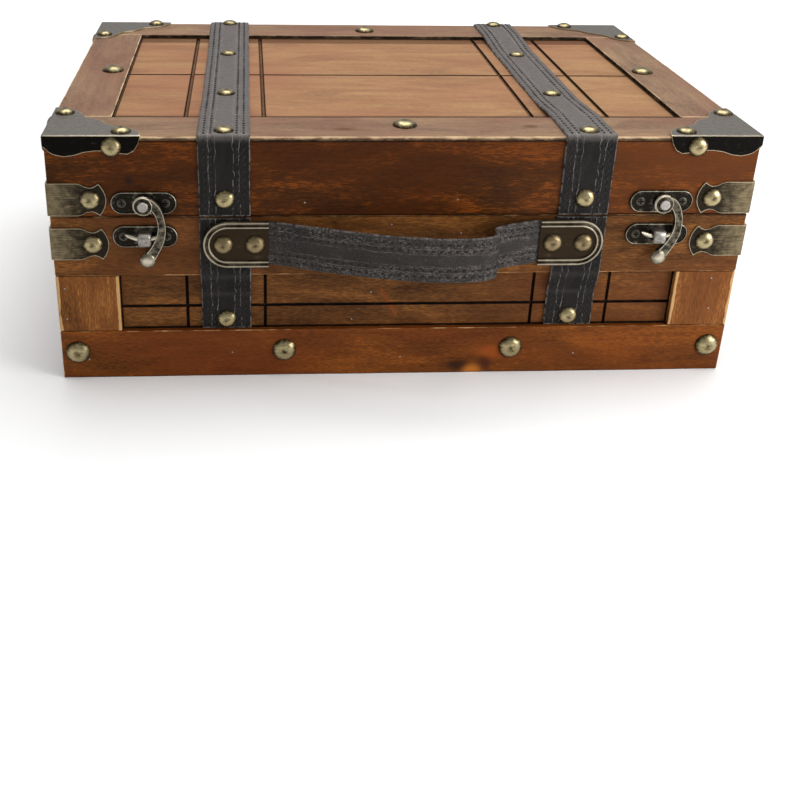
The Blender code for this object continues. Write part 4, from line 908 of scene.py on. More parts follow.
def handle_plate_grids(side):
    """A D worked from its outline inwards. Height: two half-round beads, then a flat floor.

    A point at inset w lies on the line from the outline to the D's middle line, w along it."""
    centre = PLATE_X + PLATE_LONG / 2 - PLATE_HALF
    straight = np.linspace(PLATE_X - PLATE_LONG / 2, centre, 14)
    turn = np.linspace(-np.pi / 2, np.pi / 2, 37)[1:-1]
    foot = np.concatenate([straight, np.full(turn.size, centre), straight[::-1]])
    rim_x = np.concatenate([straight, centre + PLATE_HALF * np.cos(turn), straight[::-1]])
    rim_z = np.concatenate([np.full(14, -PLATE_HALF), PLATE_HALF * np.sin(turn), np.full(14, PLATE_HALF)])
    inset = PLATE_INSETS * PLATE_HALF / PLATE_INSETS[-1]
    share = inset / PLATE_HALF
    across = rim_x[:, None] + (foot - rim_x)[:, None] * share
    up = rim_z[:, None] * (1 - share)
    beads = [1.1 * MM * np.sqrt(np.clip(1 - ((inset - at) / half) ** 2, 0, 1)) for at, half in BEADS]
    back = held + HIDE + SEAT
    out = back + SHEET + np.maximum(*beads) + 0 * across
    outer, inner = on_front(side * across, PLATE_Z + up, out), on_front(side * across, PLATE_Z + up, back)
    crest = 0.6 * np.minimum(*(abs(inset - at) for at, _ in BEADS)) / MM + 0.1
    tone = np.where(inset < 4.5 * MM, 0.64, 0.86)
    borders = ("first", "last", "left")
    return plate(outer, inner, borders, crest + 0 * across, tone + 0 * across, room(across, up, 0.0))


handle_nails = []
nail_out = held + HIDE + SEAT + SHEET
for word, side in SIDES:
    name = f"{word}_handle_plate"
    build(f"{name}_finished", handle_plate_grids(side), plate_bronze, "base", "antique_bronze", [name])
    spots = [(side * (PLATE_X - PAIR_INWARDS + a * PAIR_HALF), PLATE_Z, nail_out) for a in (-1, 1)]
    handle_nails += heads(spots, CORNER_NAIL, on_front)
build("handle_plate_nails", handle_nails, brown_bronze, "base", "nail_brass")

# %% [markdown]
# ## Corner straps and guards
#
# Corner straps wrap each upright corner with a fishtail, a domed nail and a small empty hole on both faces.
# Guards cap the lid's corners with a flat top and two wavy flanges. Both are bent from one sheet, so each is
# worked out with sharp folds first and then rounded like the boards: pulled to a smaller box and pushed out
# by the bend's radius.

# %% Bent sheet
def bent(at, radius=1.3 * MM):
    """Rounds the folds of a sheet whose faces lie a skin's thickness outside the box."""
    high = np.array([HALF_WIDTH, HALF_DEPTH, FRAME_TOP]) + SKIN
    folded = np.abs(at)
    core = np.minimum(folded, high - radius)
    away = folded - core
    size = np.linalg.norm(away, axis=-1, keepdims=True)
    return np.sign(at) * (core + away * np.where(size > 0, radius / np.maximum(size, 1e-9), 0))


CORNERS = [(f"{depth}_{width}", side, end) for depth, end in (("front", -1), ("back", 1)) for width, side in SIDES]
print("corners:", *(word for word, _, _ in CORNERS))

# %% Corner straps
LENGTH, TALL = 32 * MM, 9.6 * MM  # of each arm, and half its height
FISHTAIL = ((0, 1.0), (0.51, 1.0), (0.58, 0.93), (0.65, 0.79), (0.74, 0.73), (0.81, 0.81), (0.88, 0.98))
BANDS = (("lid", LID_BOTTOM + 0.7 * MM + TALL), ("base", BASE_TOP - 6.6 * MM - TALL))
STRAP_PIN, HOLE = 23 * MM, 11.7 * MM  # how far the nail and the small hole lie from the corner
HOLE_SIZE = (0.8 * MM, 0.06 * MM)


def corner_strap_grids(side, end, middle):
    """Rows run from one tail round the corner to the other; columns run from the lower edge to the upper.

    The half height follows the fishtail's waist, and the tail's end bulges by 12% of the length."""
    run = np.concatenate([[0, 0.02, 0.04, 0.07], np.linspace(0.1, 0.97, 34), [0.985, 1.0]])[:, None]
    across = np.sin(np.linspace(-np.pi / 2, np.pi / 2, 19))
    half = TALL * np.interp(run * 0.88, *np.array(FISHTAIL).T)
    reach = LENGTH * (0.88 + 0.12 * (1 - across**2))
    faces = []
    for out in (SKIN, SEAT):
        along = -out + run * (reach + out)
        up = middle + across * half + 0 * along
        front = room(side * (HALF_WIDTH - along), end * (HALF_DEPTH + out), up)
        flank = room(side * (HALF_WIDTH + out), end * (HALF_DEPTH - along), up)
        faces.append(np.concatenate([flank[::-1], front]))
    edge = np.minimum((1 - abs(across)) * half, (1 - run) * reach) / MM
    tone = 0.44 + 0.40 * np.clip(run * 1.5 - 0.2, 0, 1) + 0 * across
    local = room(run * LENGTH, across * half, middle + side * 0.3 + end * 0.7)
    edge, tone, local = (np.concatenate([mark[::-1], mark]) for mark in (edge, tone, local))
    return plate(bent(faces[0]), faces[1], ("first", "last", "left", "right"), edge, tone, local)


for body, middle in BANDS:
    nails = lid_nails if body == "lid" else base_nails
    for word, side, end in CORNERS:
        name = f"{body}_corner_strap_{word}"
        build(f"{name}_finished", corner_strap_grids(side, end, middle), bronze, body, "antique_bronze", [name])
        face = on_front if end < 0 else on_back
        nails += heads([(side * (HALF_WIDTH - STRAP_PIN), middle, SKIN)], CORNER_NAIL, face)
        nails += heads([(end * (HALF_DEPTH - STRAP_PIN), middle, SKIN)], CORNER_NAIL, on_side(side))
for body, middle in BANDS:
    # Each empty hole is drawn as a thin black disc: painted shade in the hole.
    painted_hole_shade = []
    for face in (on_front, on_back):
        painted_hole_shade += heads([(s * (HALF_WIDTH - HOLE), middle, SKIN) for s in (-1, 1)], HOLE_SIZE, face)
    for face in (on_side(-1), on_side(1)):
        painted_hole_shade += heads([(s * (HALF_DEPTH - HOLE), middle, SKIN) for s in (-1, 1)], HOLE_SIZE, face)
    build(f"{body}_corner_strap_holes", painted_hole_shade, black_steel, body, "antique_bronze")

# %% Corner guards
ARM, DEEP = 52.4 * MM, 12.2 * MM
LOBE = [(0.985, 0.09), (0.93, 0.18), (0.85, 0.26), (0.70, 0.32), (0.61, 0.38), (0.575, 0.45), (0.525, 0.525)]
WAVE = (
    (0.0, 0.50), (0.04, 0.74), (0.10, 0.90), (0.20, 1.0), (0.31, 0.94), (0.41, 0.79), (0.53, 0.72),
    (0.66, 0.74), (0.76, 0.84), (0.86, 0.88), (0.93, 0.72), (0.98, 0.36), (1.0, 0.0),
)
GUARD_NAIL_FAR, GUARD_NAIL_NEAR = 41.5 * MM, 6.2 * MM
FLANGE_NAIL, FLANGE_NAIL_DROP = 36.4 * MM, 6.6 * MM


def corner_guard_grids(side, end):
    """A fan from the corner to the curved inner edge, and a flange down each face.

    The fan's first and last rays and the flanges' top rows share their places, so the sheet closes there."""
    share = np.concatenate([np.linspace(0, 0.9, 25), [0.93, 0.955, 0.975, 0.99, 1.0]])
    lobe = np.array([(1.0, -SKIN / ARM)] + LOBE + [(v, u) for u, v in LOBE[-2::-1]] + [(-SKIN / ARM, 1.0)]) * ARM
    curve = eased(lobe, 3, 1.2 * MM)
    deep = DEEP * np.interp((share * (ARM + SKIN) - SKIN) / ARM, *np.array(WAVE).T)[:, None]
    down = np.concatenate([[0, 0.08, 0.16], np.linspace(0.25, 0.9, 8), [0.95, 1.0]])
    seed = np.array([side * 0.31, end * 0.17, 0.0])
    fans, flanges = [], []
    for out in (SKIN, SEAT):
        fan = -out + share[:, None, None] * (curve + out)
        fan[:, 0, 1], fan[:, -1, 0] = -out, -out
        fans.append(room(side * (HALF_WIDTH - fan[..., 0]), end * (HALF_DEPTH - fan[..., 1]), FRAME_TOP + out))
        along = (-out + share * (ARM + out))[:, None]
        up = FRAME_TOP + out - down * (deep - SKIN + out)
        front = room(side * (HALF_WIDTH - along), end * (HALF_DEPTH + out), up)
        flank = room(side * (HALF_WIDTH + out), end * (HALF_DEPTH - along), up)
        flanges.append((front, flank))
    level = -SKIN + share[:, None, None] * (curve + SKIN)
    near = np.linalg.norm(level[:, :, None] - curve, axis=-1).min(-1)
    fold = np.minimum(level[..., 0], level[..., 1]) + SKIN
    edge = np.minimum(near, 0.8 * fold) / MM
    grids = plate(bent(fans[0]), fans[1], ("last",), edge, 0.30, room(level[..., 0], level[..., 1], 0.0) + seed)
    edge = np.minimum((1 - down) * deep, 0.8 * (down * deep + 0.2 * MM)) / MM
    local = room(share[:, None] * ARM, down * deep, 0.5) + seed
    for outer, inner in zip(*flanges):
        grids += plate(bent(outer), inner, ("right",), edge, 0.86, local)
    return grids


for word, side, end in CORNERS:
    name = f"corner_guard_{word}"
    build(f"{name}_finished", corner_guard_grids(side, end), guard_bronze, "lid", "antique_bronze", [name])
    tops = [(GUARD_NAIL_FAR, GUARD_NAIL_NEAR), (GUARD_NAIL_NEAR, GUARD_NAIL_FAR)]
    tops = [(side * (HALF_WIDTH - u), end * (HALF_DEPTH - v), SKIN) for u, v in tops]
    lid_nails += heads(tops, CORNER_NAIL, on_top)
    drop = FRAME_TOP + SKIN - FLANGE_NAIL_DROP
    face = on_front if end < 0 else on_back
    lid_nails += heads([(side * (HALF_WIDTH - FLANGE_NAIL), drop, SKIN)], CORNER_NAIL, face)
    lid_nails += heads([(end * (HALF_DEPTH - FLANGE_NAIL), drop, SKIN)], CORNER_NAIL, on_side(side))
build("lid_domed_nails", lid_nails, brass, "lid", "nail_brass")
build("base_domed_nails", base_nails, brass, "base", "nail_brass")

# %% [markdown]
# ## Latches
#
# A swing hook turns on a riveted post on the lid. Its curved tongue slides under a small bridge on the
# base, and a ball at the tip is the finger grip. The two plates are round-ended, with a raised rim and a
# countersunk cross-head screw at each end. A bar carried along a path makes the arm and the tongue, and a
# profile swung round makes the ring, the ball and the post.

# %% Latch plates
(LATCH_X, _, PIVOT_Z), (latch_half_long, _, PLATE_R) = measure("right_latch_plate")
KEEPER_Z = PIVOT_Z - 20.2 * MM
HOOK_BACK, HOOK_THICK = SKIN + CORNER_NAIL[1] + 0.4 * MM, 2.8 * MM
WAIST = 6.6 * MM  # radius of the raised middle
DOWN_UP = np.linspace(-np.pi / 2, np.pi / 2, 19)


def round_ended_plate(x, z):
    """A plate worked from its outline inwards to its middle line.

    Height: a bell curve for the rim, or a round table in the middle where that is higher."""
    reach = latch_half_long - PLATE_R
    straight = np.linspace(reach, -reach, 25)[1:-1]
    foot = np.concatenate([np.full(19, reach), straight, np.full(19, -reach), -straight, [reach]])
    round_u, round_v = PLATE_R * np.cos(DOWN_UP), PLATE_R * np.sin(DOWN_UP)
    rim_u = np.concatenate([reach + round_u, straight, -reach - round_u, -straight, [reach]])
    side = PLATE_R * np.ones(23)
    rim_v = np.concatenate([round_v, side, -round_v, -side, [-PLATE_R]])
    inset = np.array([0, 0.03, 0.08, 0.13, 0.18, 0.24, 0.32, 0.42, 0.55, 0.7, 0.85, 1.0])
    u = rim_u[:, None] + (foot - rim_u)[:, None] * inset
    v = rim_v[:, None] * (1 - inset)
    depth = inset * PLATE_R
    waist = np.hypot(u, 0.8 * v)
    rim = 0.45 * MM * np.exp(-((depth - 0.5 * MM) / (0.45 * MM)) ** 2)
    raised = 0.5 * MM / (1 + np.exp((waist - WAIST) / (0.35 * MM)))
    out = SKIN + 0.1 * MM + np.maximum(rim, raised) - 0.3 * MM * np.exp(-inset * 60)
    edge = np.minimum(abs(depth - 0.45 * MM) / MM + 0.12, 0.5 * abs(waist - WAIST) / MM + 0.3)
    screw = np.hypot(abs(u) - reach, v) / MM
    tone = np.where(waist < 6 * MM, 0.66, 0.80) + 0.4 * np.clip(4.2 - screw, 0, 1)
    outer, inner = on_front(x + u, z + v, out), on_front(x + u, z + v, SEAT)
    return plate(outer, inner, ("left",), edge, tone, room(u, v, x))


print(f"latch plates {2000 * latch_half_long:.0f} x {2000 * PLATE_R:.0f} mm")

# %% Bars and turned parts
FLAT_BAR = np.array([
    (-1, -1, 0.6), (-1, 0.3, 0.5), (-0.82, 1, 0.05), (-0.66, 1, 0.6), (0, 0.85, 2),
    (0.66, 1, 0.6), (0.82, 1, 0.05), (1, 0.3, 0.5), (1, -1, 0.6), (-1, -1, 0.6),
])
ROUND_BAR = np.array([(math.cos(a), math.sin(a), 0.5 - 0.35 * math.sin(a)) for a in np.linspace(0, 2 * np.pi, 17)])


def swept(path, half, thick, out, section):
    """A bar carried along a path on the front. The section's rows are across, out and wear, from -1 to 1."""
    run = np.gradient(path, axis=0)
    run /= np.linalg.norm(run, axis=1, keepdims=True)
    wide = half[:, None] * section[:, 0]
    across, up = path[:, :1] - run[:, 1:] * wide, path[:, 1:] + run[:, :1] * wide
    at = on_front(across, up, out + thick / 2 * section[:, 1])
    at[:, -1] = at[:, 0]
    caps = [np.broadcast_to(at[k].mean(0), at[k].shape)[None] for k in (0, -1)]
    return [grid(np.concatenate([caps[0], at, caps[1]]), section[:, 2], 0.62)]


def lathe(profile, x, z, tone=0.35):
    """The profile's points swung round a line out of the front: rows of radius, out and wear."""
    radius, out, edge = np.array(profile, float).T
    angle = np.linspace(0, 2 * np.pi, 33)
    at = on_front(x + radius[:, None] * np.cos(angle), z + radius[:, None] * np.sin(angle), out[:, None])
    at[:, -1] = at[:, 0]
    return [grid(at, edge[:, None], tone)]


print("sections of", len(FLAT_BAR), "and", len(ROUND_BAR), "points")

# %% Hooks
BALL_DROP, TONGUE_REACH = 32.8 * MM, 20.2 * MM  # under the pivot
HOOK_BOW = np.array([  # across, down and half width, as shares of the drop
    (0.0, -0.085, 0.084), (0.12, -0.07, 0.086), (0.215, 0.03, 0.084), (0.285, 0.18, 0.074), (0.310, 0.34, 0.070),
    (0.305, 0.47, 0.078), (0.270, 0.63, 0.090), (0.185, 0.80, 0.088), (0.08, 0.95, 0.110),
])
WASHER = [
    (1.9, 0, 1), (1.9, 2.4, 0.1), (2.2, 2.8, 0.05), (2.8, 2.8, 0.8), (4.5, 2.8, 0.8),
    (5.0, 2.8, 0.05), (5.7, 2.0, 0.1), (5.7, 0, 0.6), (1.9, 0, 1),
]


def hook_grids(x):
    """Flat ring, bowed arm, tongue with a round tip, and ball."""
    table = HOOK_BOW * BALL_DROP
    spots = np.linspace(0, len(table) - 1, 60)
    arm = np.stack([np.interp(spots, np.arange(len(table)), column) for column in table.T], -1)
    for _ in range(40):
        arm[1:-1] = (arm[:-2] + 2 * arm[1:-1] + arm[2:]) / 4
    path = np.stack([x + arm[:, 0], PIVOT_Z - arm[:, 1]], -1)
    grids = swept(path, arm[:, 2], HOOK_THICK - 0.1 * MM, HOOK_BACK + HOOK_THICK / 2, FLAT_BAR)
    grids += lathe([(r * MM, HOOK_BACK + o * MM, e) for r, o, e in WASHER], x, PIVOT_Z, 0.7)
    sweep = np.radians(np.linspace(-58, -122, 26))
    tongue = np.stack([x + TONGUE_REACH * np.cos(sweep), PIVOT_Z + TONGUE_REACH * np.sin(sweep)], -1)
    width = 1.4 * MM * np.sqrt(np.clip(1 - np.linspace(-0.2, 0.99, 26) ** 8, 0, 1))
    grids += swept(tongue, width, 2.2 * MM, HOOK_BACK + 1.1 * MM, ROUND_BAR)
    rise = np.sin(np.linspace(-np.pi / 2, np.pi / 2, 13))
    ball = [(4.6 * MM * math.sqrt(1 - r * r), HOOK_BACK + 2.0 * MM * (1 + r), 0.9 - 0.7 * r) for r in rise]
    return grids + lathe(ball, x + 1.3 * MM, PIVOT_Z - BALL_DROP, 0.45)


print(f"hooks reach {BALL_DROP / MM:.1f} mm down from the post")

# %% Keeper bridges
EYE, WALL, CROWN = 2.25 * MM, 1.8 * MM, HOOK_BACK + 4.5 * MM


def bridge_grids(x):
    """The little block that the tongue passes under: a thick arch carried across, smaller at both ends."""
    far = EYE + WALL
    bend = [(0.0, 2.6), (0.5, 1.1), (1.5, 0.2), (2.8, 0.0)]
    bend = [(far - z * MM, CROWN - out * MM) for z, out in bend]
    arch = [(-far, SEAT)] + [(-z, out) for z, out in bend] + bend[::-1] + [(far, SEAT)]
    arch = np.array(arch + [(EYE, SEAT), (EYE, CROWN - WALL), (-EYE, CROWN - WALL), (-EYE, SEAT), (-far, SEAT)])
    spots = np.array([-3.7, -3.2, -2.5, 2.5, 3.2, 3.7]) * MM
    lower = np.array([1.1, 0.35, 0, 0, 0.35, 1.1])[:, None] * MM
    outside = abs(arch[:, 0]) > EYE + 0.1 * MM
    up = arch[:, 0] - np.sign(arch[:, 0]) * np.where(outside, 0.8 * lower, 0)
    out = arch[:, 1] - np.where(arch[:, 1] > CROWN - WALL + 0.1 * MM, lower, 0)
    worn = np.array([1, 0.5, 0.2, 0.3, 0.8, 0.8, 0.3, 0.2, 0.5, 1, 1, 1, 1, 1, 1]) + 0 * up
    body = grid(on_front(x + spots[:, None] + 0 * up, KEEPER_Z + up, out), worn, 0.45)
    inside = [13, 12, 12, 12, 12, 11, 11, 11, 11, 10]  # the eye's corner that each outer point is joined to
    ends = [grid(np.stack([body["at"][row][:10], body["at"][row][inside]]), 1.0, 0.5) for row in (0, -1)]
    return [body] + ends


print(f"the eye is {2 * EYE / MM} mm high")

# %% Latches in place
POST = [
    (0, SEAT, 1), (3 * MM, SEAT, 1), (3 * MM, HOOK_BACK - SEAT, 1), (1.6 * MM, HOOK_BACK - SEAT, 1),
    (1.6 * MM, HOOK_BACK + HOOK_THICK + SEAT, 1),
]
RIVET = [(2.9, 0.3, 1), (3, 0.9, 0.5), (2.5, 1.5, 0.1), (1.6, 1.6, 1), (0, 1.4, 1)]
POST += [(radius * MM, HOOK_BACK + HOOK_THICK + out * MM, wear) for radius, out, wear in RIVET]
SCREW_FAR = 12.2 * MM
for word, side in SIDES:
    x = side * LATCH_X
    name = f"{word}_latch_plate"
    build(f"{name}_finished", round_ended_plate(x, PIVOT_Z), hook_bronze, "lid", "antique_bronze", [name])
    keeper = round_ended_plate(x, KEEPER_Z)
    build(f"{word}_keeper_plate", keeper, hook_bronze, "base", "antique_bronze", [f"{word}_latch_keeper"])
    build(f"{word}_keeper_bridge", bridge_grids(x), pale_steel, "base", "antique_bronze")
    build(f"{word}_latch_post", lathe(POST, x, PIVOT_Z), pale_steel, "lid", "antique_bronze")
    name = f"{word}_latch_hook"
    build(f"{name}_finished", hook_grids(x), hook_bronze, f"{word}_hook", "antique_bronze", [name])
screw_x = [s * LATCH_X + e * SCREW_FAR for s in (-1, 1) for e in (-1, 1)]
lid_screws = screws([(x, PIVOT_Z, SKIN) for x in screw_x], on_front)
base_screws = screws([(x, KEEPER_Z, SKIN) for x in screw_x], on_front)

# %% [markdown]
# ## Hinges and wire bails
#
# At the back, each hinge has a short leaf on the lid and a long one on the base, four knuckles on a pin,
# and a curl at the top that holds a wire bail. The bail's lower bar lies behind a bent hood, which
# stops the lid when it is open.

# %% Hinge leaves
(HINGE_X, pin_y, PIN_Z), (HINGE_HALF, _, _) = measure("right_hinge_pin")
PIN_OUT = pin_y - HALF_DEPTH
CURL_Z = PIN_Z + 12.7 * MM
NOTCH = ((-1.0, 0.0), (-0.72, 0.22), (-0.52, 0.10), (-0.30, 0.90), (-0.16, 0.62), (0.0, 1.0))


def leaf_grids(x, top, bottom, notch):
    """A flat leaf; the lower edge follows the notch's outline."""
    across = np.sin(np.linspace(-np.pi / 2, np.pi / 2, 33)) * HINGE_HALF
    rise = notch * np.interp(-abs(across) / HINGE_HALF, *np.array(NOTCH).T)
    down = np.concatenate([[0, 0.03, 0.08], np.linspace(0.15, 0.9, 12), [0.95, 0.98, 1.0]])[:, None]
    up = top + (bottom + rise - top) * down
    outer, inner = on_back(x + across, up, SKIN), on_back(x + across, up, SEAT)
    edge = np.minimum(HINGE_HALF - abs(across), up - bottom - rise) / MM
    return plate(outer, inner, ("first", "last", "left", "right"), edge, 0.9, room(across, up, x))


print(f"hinges are {2 * HINGE_HALF / MM:.0f} mm wide")

# %% Round bars and hoods
def bar(x0, x1, radius, out, up, bore=0.0):
    """A round bar or tube along X with softened ends."""
    ends = np.array([x0, x0, x0 + 0.15 * MM, x1 - 0.15 * MM, x1, x1])
    size = np.array([bore, radius - 0.15 * MM, radius, radius, radius - 0.15 * MM, bore])
    if bore:
        ends, size = np.append(ends, x0), np.append(size, bore)
    angle = np.linspace(0, 2 * np.pi, 25)
    at = on_back(ends[:, None], up + size[:, None] * np.sin(angle), out + size[:, None] * np.cos(angle))
    at[:, -1] = at[:, 0]
    edge = np.minimum(ends - x0, x1 - ends)[:, None] / MM + 0.3
    return [grid(at, edge, 0.22)]


HOOD = [(SEAT, -13.6 * MM), (7.1 * MM, -15.8 * MM), (8.3 * MM, -29.9 * MM)]  # out, and up from the pin


def hood_grids(x):
    """A bent sheet: a short slope out of the leaf, then a long flat front, its outline carried across."""
    slope = eased(HOOD, 3, 0.6 * MM)
    length, normal = measured(slope)
    under = slope + normal * -0.9 * MM
    under[:, 0] = np.maximum(under[:, 0], SEAT)
    across = np.sin(np.linspace(-np.pi / 2, np.pi / 2, 21)) * HINGE_HALF
    outer = on_back(x + across, PIN_Z + slope[:, 1:], slope[:, :1])
    inner = on_back(x + across, PIN_Z + under[:, 1:], under[:, :1])
    length = length[:, None]
    edge = np.minimum(HINGE_HALF - abs(across), length[-1] - length) / MM
    tone = 0.50 - 0.35 * np.exp(-((length - 8 * MM) / (1.6 * MM)) ** 2)
    return plate(outer, inner, ("last", "left", "right"), edge, tone, room(across, length, x))


print(f"hoods stand {HOOD[-1][0] / MM:.1f} mm out")

# %% Wire bails
WIRE = 0.9 * MM  # radius


def bail_grids(x):
    """A closed loop of wire: a rounded rectangle, its round section turned square to the path."""
    side, corner = HINGE_HALF + 4.1 * MM, 3 * MM
    low = CURL_Z - 32 * MM
    path = []
    turns = ((1, CURL_Z - corner), (-1, CURL_Z - corner), (-1, low + corner), (1, low + corner))
    for k, (u, v) in enumerate(turns):
        turn = np.linspace(0, np.pi / 2, 9) + k * np.pi / 2
        path.append(np.stack([x + u * (side - corner) + corner * np.cos(turn), v + corner * np.sin(turn)], -1))
    path = np.concatenate(path + [path[0][:1]])
    run = np.roll(path[:-1], -1, 0) - np.roll(path[:-1], 1, 0)
    run = np.append(run, run[:1], axis=0)
    run /= np.linalg.norm(run, axis=1, keepdims=True)
    angle = np.linspace(0, 2 * np.pi, 13)
    wide = WIRE * np.cos(angle)
    across, up = path[:, :1] + run[:, 1:] * wide, path[:, 1:] - run[:, :1] * wide
    at = on_back(across, up, PIN_OUT + WIRE * np.sin(angle))
    at[:, -1], at[-1] = at[:, 0], at[0]
    return [grid(at, 9.0, 0.3)]


print(f"wire of {2 * WIRE / MM:.1f} mm")

# %% Hinges in place
KNUCKLE = 2 * HINGE_HALF / 4
KNUCKLE_RADIUS, KNUCKLE_BORE, CURL_BORE, PIN_RADIUS = 2 * MM, 1.3 * MM, 1.2 * MM, 1 * MM
GAP = 0.2 * MM  # at each end of a knuckle
LEAF_NEAR, LEAF_FAR, NOTCH_DEEP = 2.3 * MM, 42.8 * MM, 2.2 * MM  # near and far edge, from the pin
SCREWS_HALF = 11.5 * MM  # half the distance between the two screws of a row
LID_ROW, BASE_ROW, LAST_SCREW = 6.8 * MM, 8.3 * MM, 37.6 * MM  # from the pin
lid_spots, base_spots = [], []
for word, side in SIDES:
    x = side * HINGE_X
    left = x - HINGE_HALF
    leaves = {
        "lid": leaf_grids(x, CURL_Z, PIN_Z + LEAF_NEAR, 0.0),
        "base": leaf_grids(x, PIN_Z - LEAF_NEAR, PIN_Z - LEAF_FAR, NOTCH_DEEP) + hood_grids(x),
    }
    leaves["lid"] += bar(left, x + HINGE_HALF, KNUCKLE_RADIUS, PIN_OUT, CURL_Z, CURL_BORE)
    for k, body in enumerate(("lid", "base", "lid", "base")):
        start, stop = left + k * KNUCKLE + GAP, left + (k + 1) * KNUCKLE - GAP
        leaves[body] += bar(start, stop, KNUCKLE_RADIUS, PIN_OUT, PIN_Z, KNUCKLE_BORE)
    for body, grids in leaves.items():
        name = f"{word}_hinge_{body}_leaf"
        build(f"{name}_finished", grids, bronze, body, "antique_bronze", [name])
    pin = bar(left, x + HINGE_HALF, PIN_RADIUS, PIN_OUT, PIN_Z)
    build(f"{word}_hinge_pin_finished", pin, wire_brass, "base", "bronze_wire", [f"{word}_hinge_pin"])
    build(f"{word}_wire_bail", bail_grids(x), wire_brass, f"{word}_bail", "bronze_wire", [f"{word}_hinge_bail"])
    lid_spots += [(x + e * SCREWS_HALF, PIN_Z + LID_ROW, SKIN) for e in (-1, 1)]
    base_spots += [(x + e * SCREWS_HALF, PIN_Z - BASE_ROW, SKIN) for e in (-1, 1)]
    base_spots.append((x, PIN_Z - LAST_SCREW, SKIN))
lid_screws += screws(lid_spots, on_back)
base_screws += screws(base_spots, on_back)
build("lid_cross_head_screws", lid_screws, black_steel, "lid", "antique_bronze")
build("base_cross_head_screws", base_screws, black_steel, "base", "antique_bronze")

# %% [markdown]
# ## Panel pins
#
# Small steel pins hold the boards. They are under a millimetre wide, so each is a tiny dome that only
# catches a spot of light.

# %% Panel pins
PANEL_PIN = (0.55 * MM, 0.25 * MM)
LID_SPOTS = ((-57.5, 111.7), (29.5, 113.2))
RAIL_SPOTS = (
    (-7.6, 98.1), (32.9, 92.5), (-195.2, 59), (-195.2, 39.5), (186, 62.4),
    (187.4, 42.5), (-184.3, 12.3), (-99.5, 16), (108, 12.6), (1.5, 11.5),
)
SUNK_SPOTS = ((-17.3, 53.2), (-28.2, 35.3))
lid_pins = heads([(x * MM, z * MM, 0.0) for x, z in LID_SPOTS], PANEL_PIN, on_front)
base_pins = [(x * MM, z * MM, 0.0) for x, z in RAIL_SPOTS]
base_pins += [(x * MM, z * MM, -FRONT_SUNK) for x, z in SUNK_SPOTS]
base_pins = heads(base_pins, PANEL_PIN, on_front)
build("lid_panel_pins", lid_pins, pale_steel, "lid", "antique_bronze")
build("base_panel_pins", base_pins, pale_steel, "base", "antique_bronze")

# %% [markdown]
# ## Floor, light and camera
#
# The picture is a plain studio one: a white floor with a soft shadow, a wide soft light above that lays a
# pale sheen on the top, and a weaker one from the front right. Away from the box the floor glows a little,
# for the camera only, so that it comes out as white as the room and puts no light on the box. The camera
# stands where the photographer's did, found by fitting the measured corners of the box.

# %% Floor
FLOOR_REACH = 6.0
floor = bpy.data.meshes.new("floor")
corners = [(-1, -1), (1, -1), (1, 1), (-1, 1)]
floor.from_pydata([(x * FLOOR_REACH, y * FLOOR_REACH, 0) for x, y in corners], [], [(0, 1, 2, 3)])
white, add = new_material("white_paper_floor")
away = add("VectorMath", (add("TexCoord").outputs["Object"],), operation="LENGTH").outputs["Value"]
glow = add("MapRange", (away, 0.4, 1.6, 0.0, 0.7), **SMOOTH)
glow = add("Math", (glow, add("LightPath").outputs["Is Camera Ray"]), operation="MULTIPLY")
inputs = {"Base Color": "#fcfcfc", "Roughness": 0.9, "Specular IOR Level": 0.1}
inputs |= {"Emission Color": "#ffffff", "Emission Strength": glow}
add("OutputMaterial", {"Surface": add("BsdfPrincipled", inputs)})
floor.materials.append(white)
floor = bpy.data.objects.new("floor", floor)
bpy.context.scene.collection.objects.link(floor)
floor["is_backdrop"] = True
print(f"floor {2 * FLOOR_REACH:.0f} m wide")

# %% Light
world = bpy.data.worlds.new("soft_room")
bpy.context.scene.world = world
world.use_nodes = True
world.node_tree.nodes.clear()
add = node_adder(world.node_tree)
level = add("MapRange", {0: add("LightPath").outputs["Is Camera Ray"], 3: 0.46, 4: 1.0})
add("OutputWorld", {"Surface": add("Background", {"Color": "#ffffff", "Strength": level})})


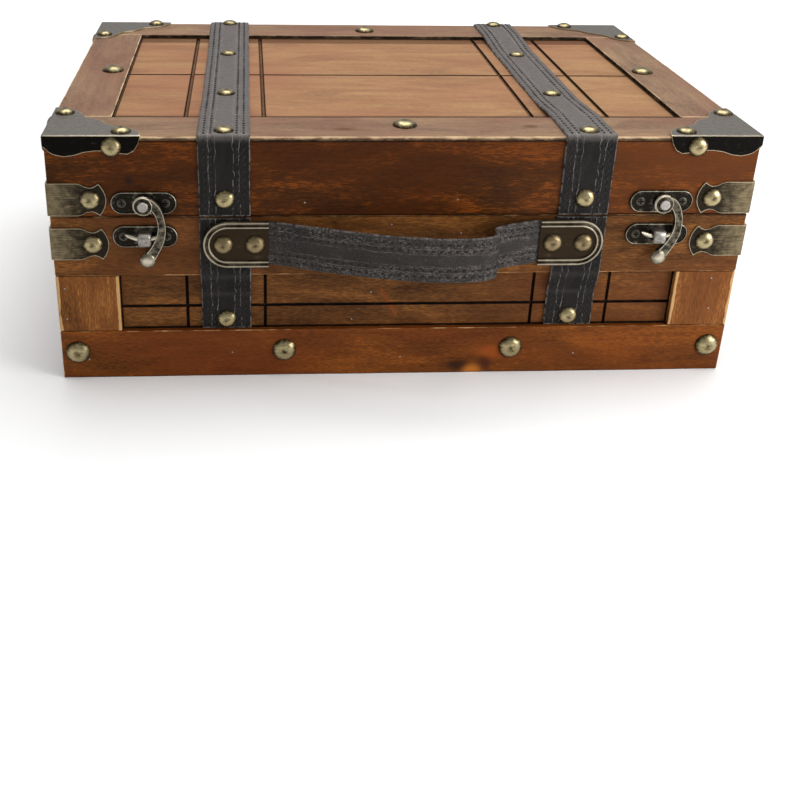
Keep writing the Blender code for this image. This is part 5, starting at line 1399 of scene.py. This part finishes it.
def softbox(name, place, target, width, power):
    """A square lamp, turned so that its -Z points along the line to the target."""
    lamp = bpy.data.lights.new(name, "AREA")
    lamp.shape, lamp.size, lamp.energy = "SQUARE", width, power
    made = bpy.data.objects.new(name, lamp)
    x, y, z = np.array(target) - np.array(place)
    made.location = place
    made.rotation_euler = (math.atan2(math.hypot(x, y), -z), 0.0, math.atan2(-x, y))
    made.visible_camera = False
    bpy.context.scene.collection.objects.link(made)
    print(f"{name}: {power} W, {width} m wide")


AIM = (0, 0, 0.1)
softbox("top_softbox", (0.1, 0.3, 1.55), AIM, 1.4, 21)
softbox("front_softbox", (0.68, -0.54, 0.34), AIM, 0.45, 4.6)

# %% Camera
YAW, PITCH, ROLL = (math.radians(angle) for angle in (4.0, 25.36, 1.24))
PLACE = (-0.0885, -0.7204, 0.3391)
LENS, PICTURE = 1105, 800  # distance to the picture plane and width of the picture, both in pixels
SENSOR, SHIFT = 36.0, (0.1, -0.15)  # width in millimetres, and the shift as a share of that width
ahead = np.array([math.sin(YAW) * math.cos(PITCH), math.cos(YAW) * math.cos(PITCH), -math.sin(PITCH)])
level = np.array([math.cos(YAW), -math.sin(YAW), 0.0])
across = level * math.cos(ROLL) + np.cross(level, ahead) * math.sin(ROLL)
turned = np.eye(4)
turned[:3] = np.stack([across, np.cross(across, ahead), -ahead, PLACE], -1)
camera = bpy.data.objects.new("camera", bpy.data.cameras.new("camera"))
camera.matrix_world = Matrix(turned.tolist())
camera.data.sensor_width = SENSOR
camera.data.lens = SENSOR * LENS / PICTURE
camera.data.shift_x, camera.data.shift_y = SHIFT
camera.data.clip_start = 0.01
bpy.context.scene.collection.objects.link(camera)
bpy.context.scene.camera = camera
bpy.context.scene.view_settings.view_transform = "Standard"
print(f"lens {camera.data.lens:.1f} mm")

# %% Sizes and finish
sizes = {"cad": [list(c) for c in cad_box], "visual": [list(c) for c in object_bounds()]}
print("CAD box and visual box:", [[[round(1000 * v, 1) for v in c] for c in box] for box in sizes.values()])
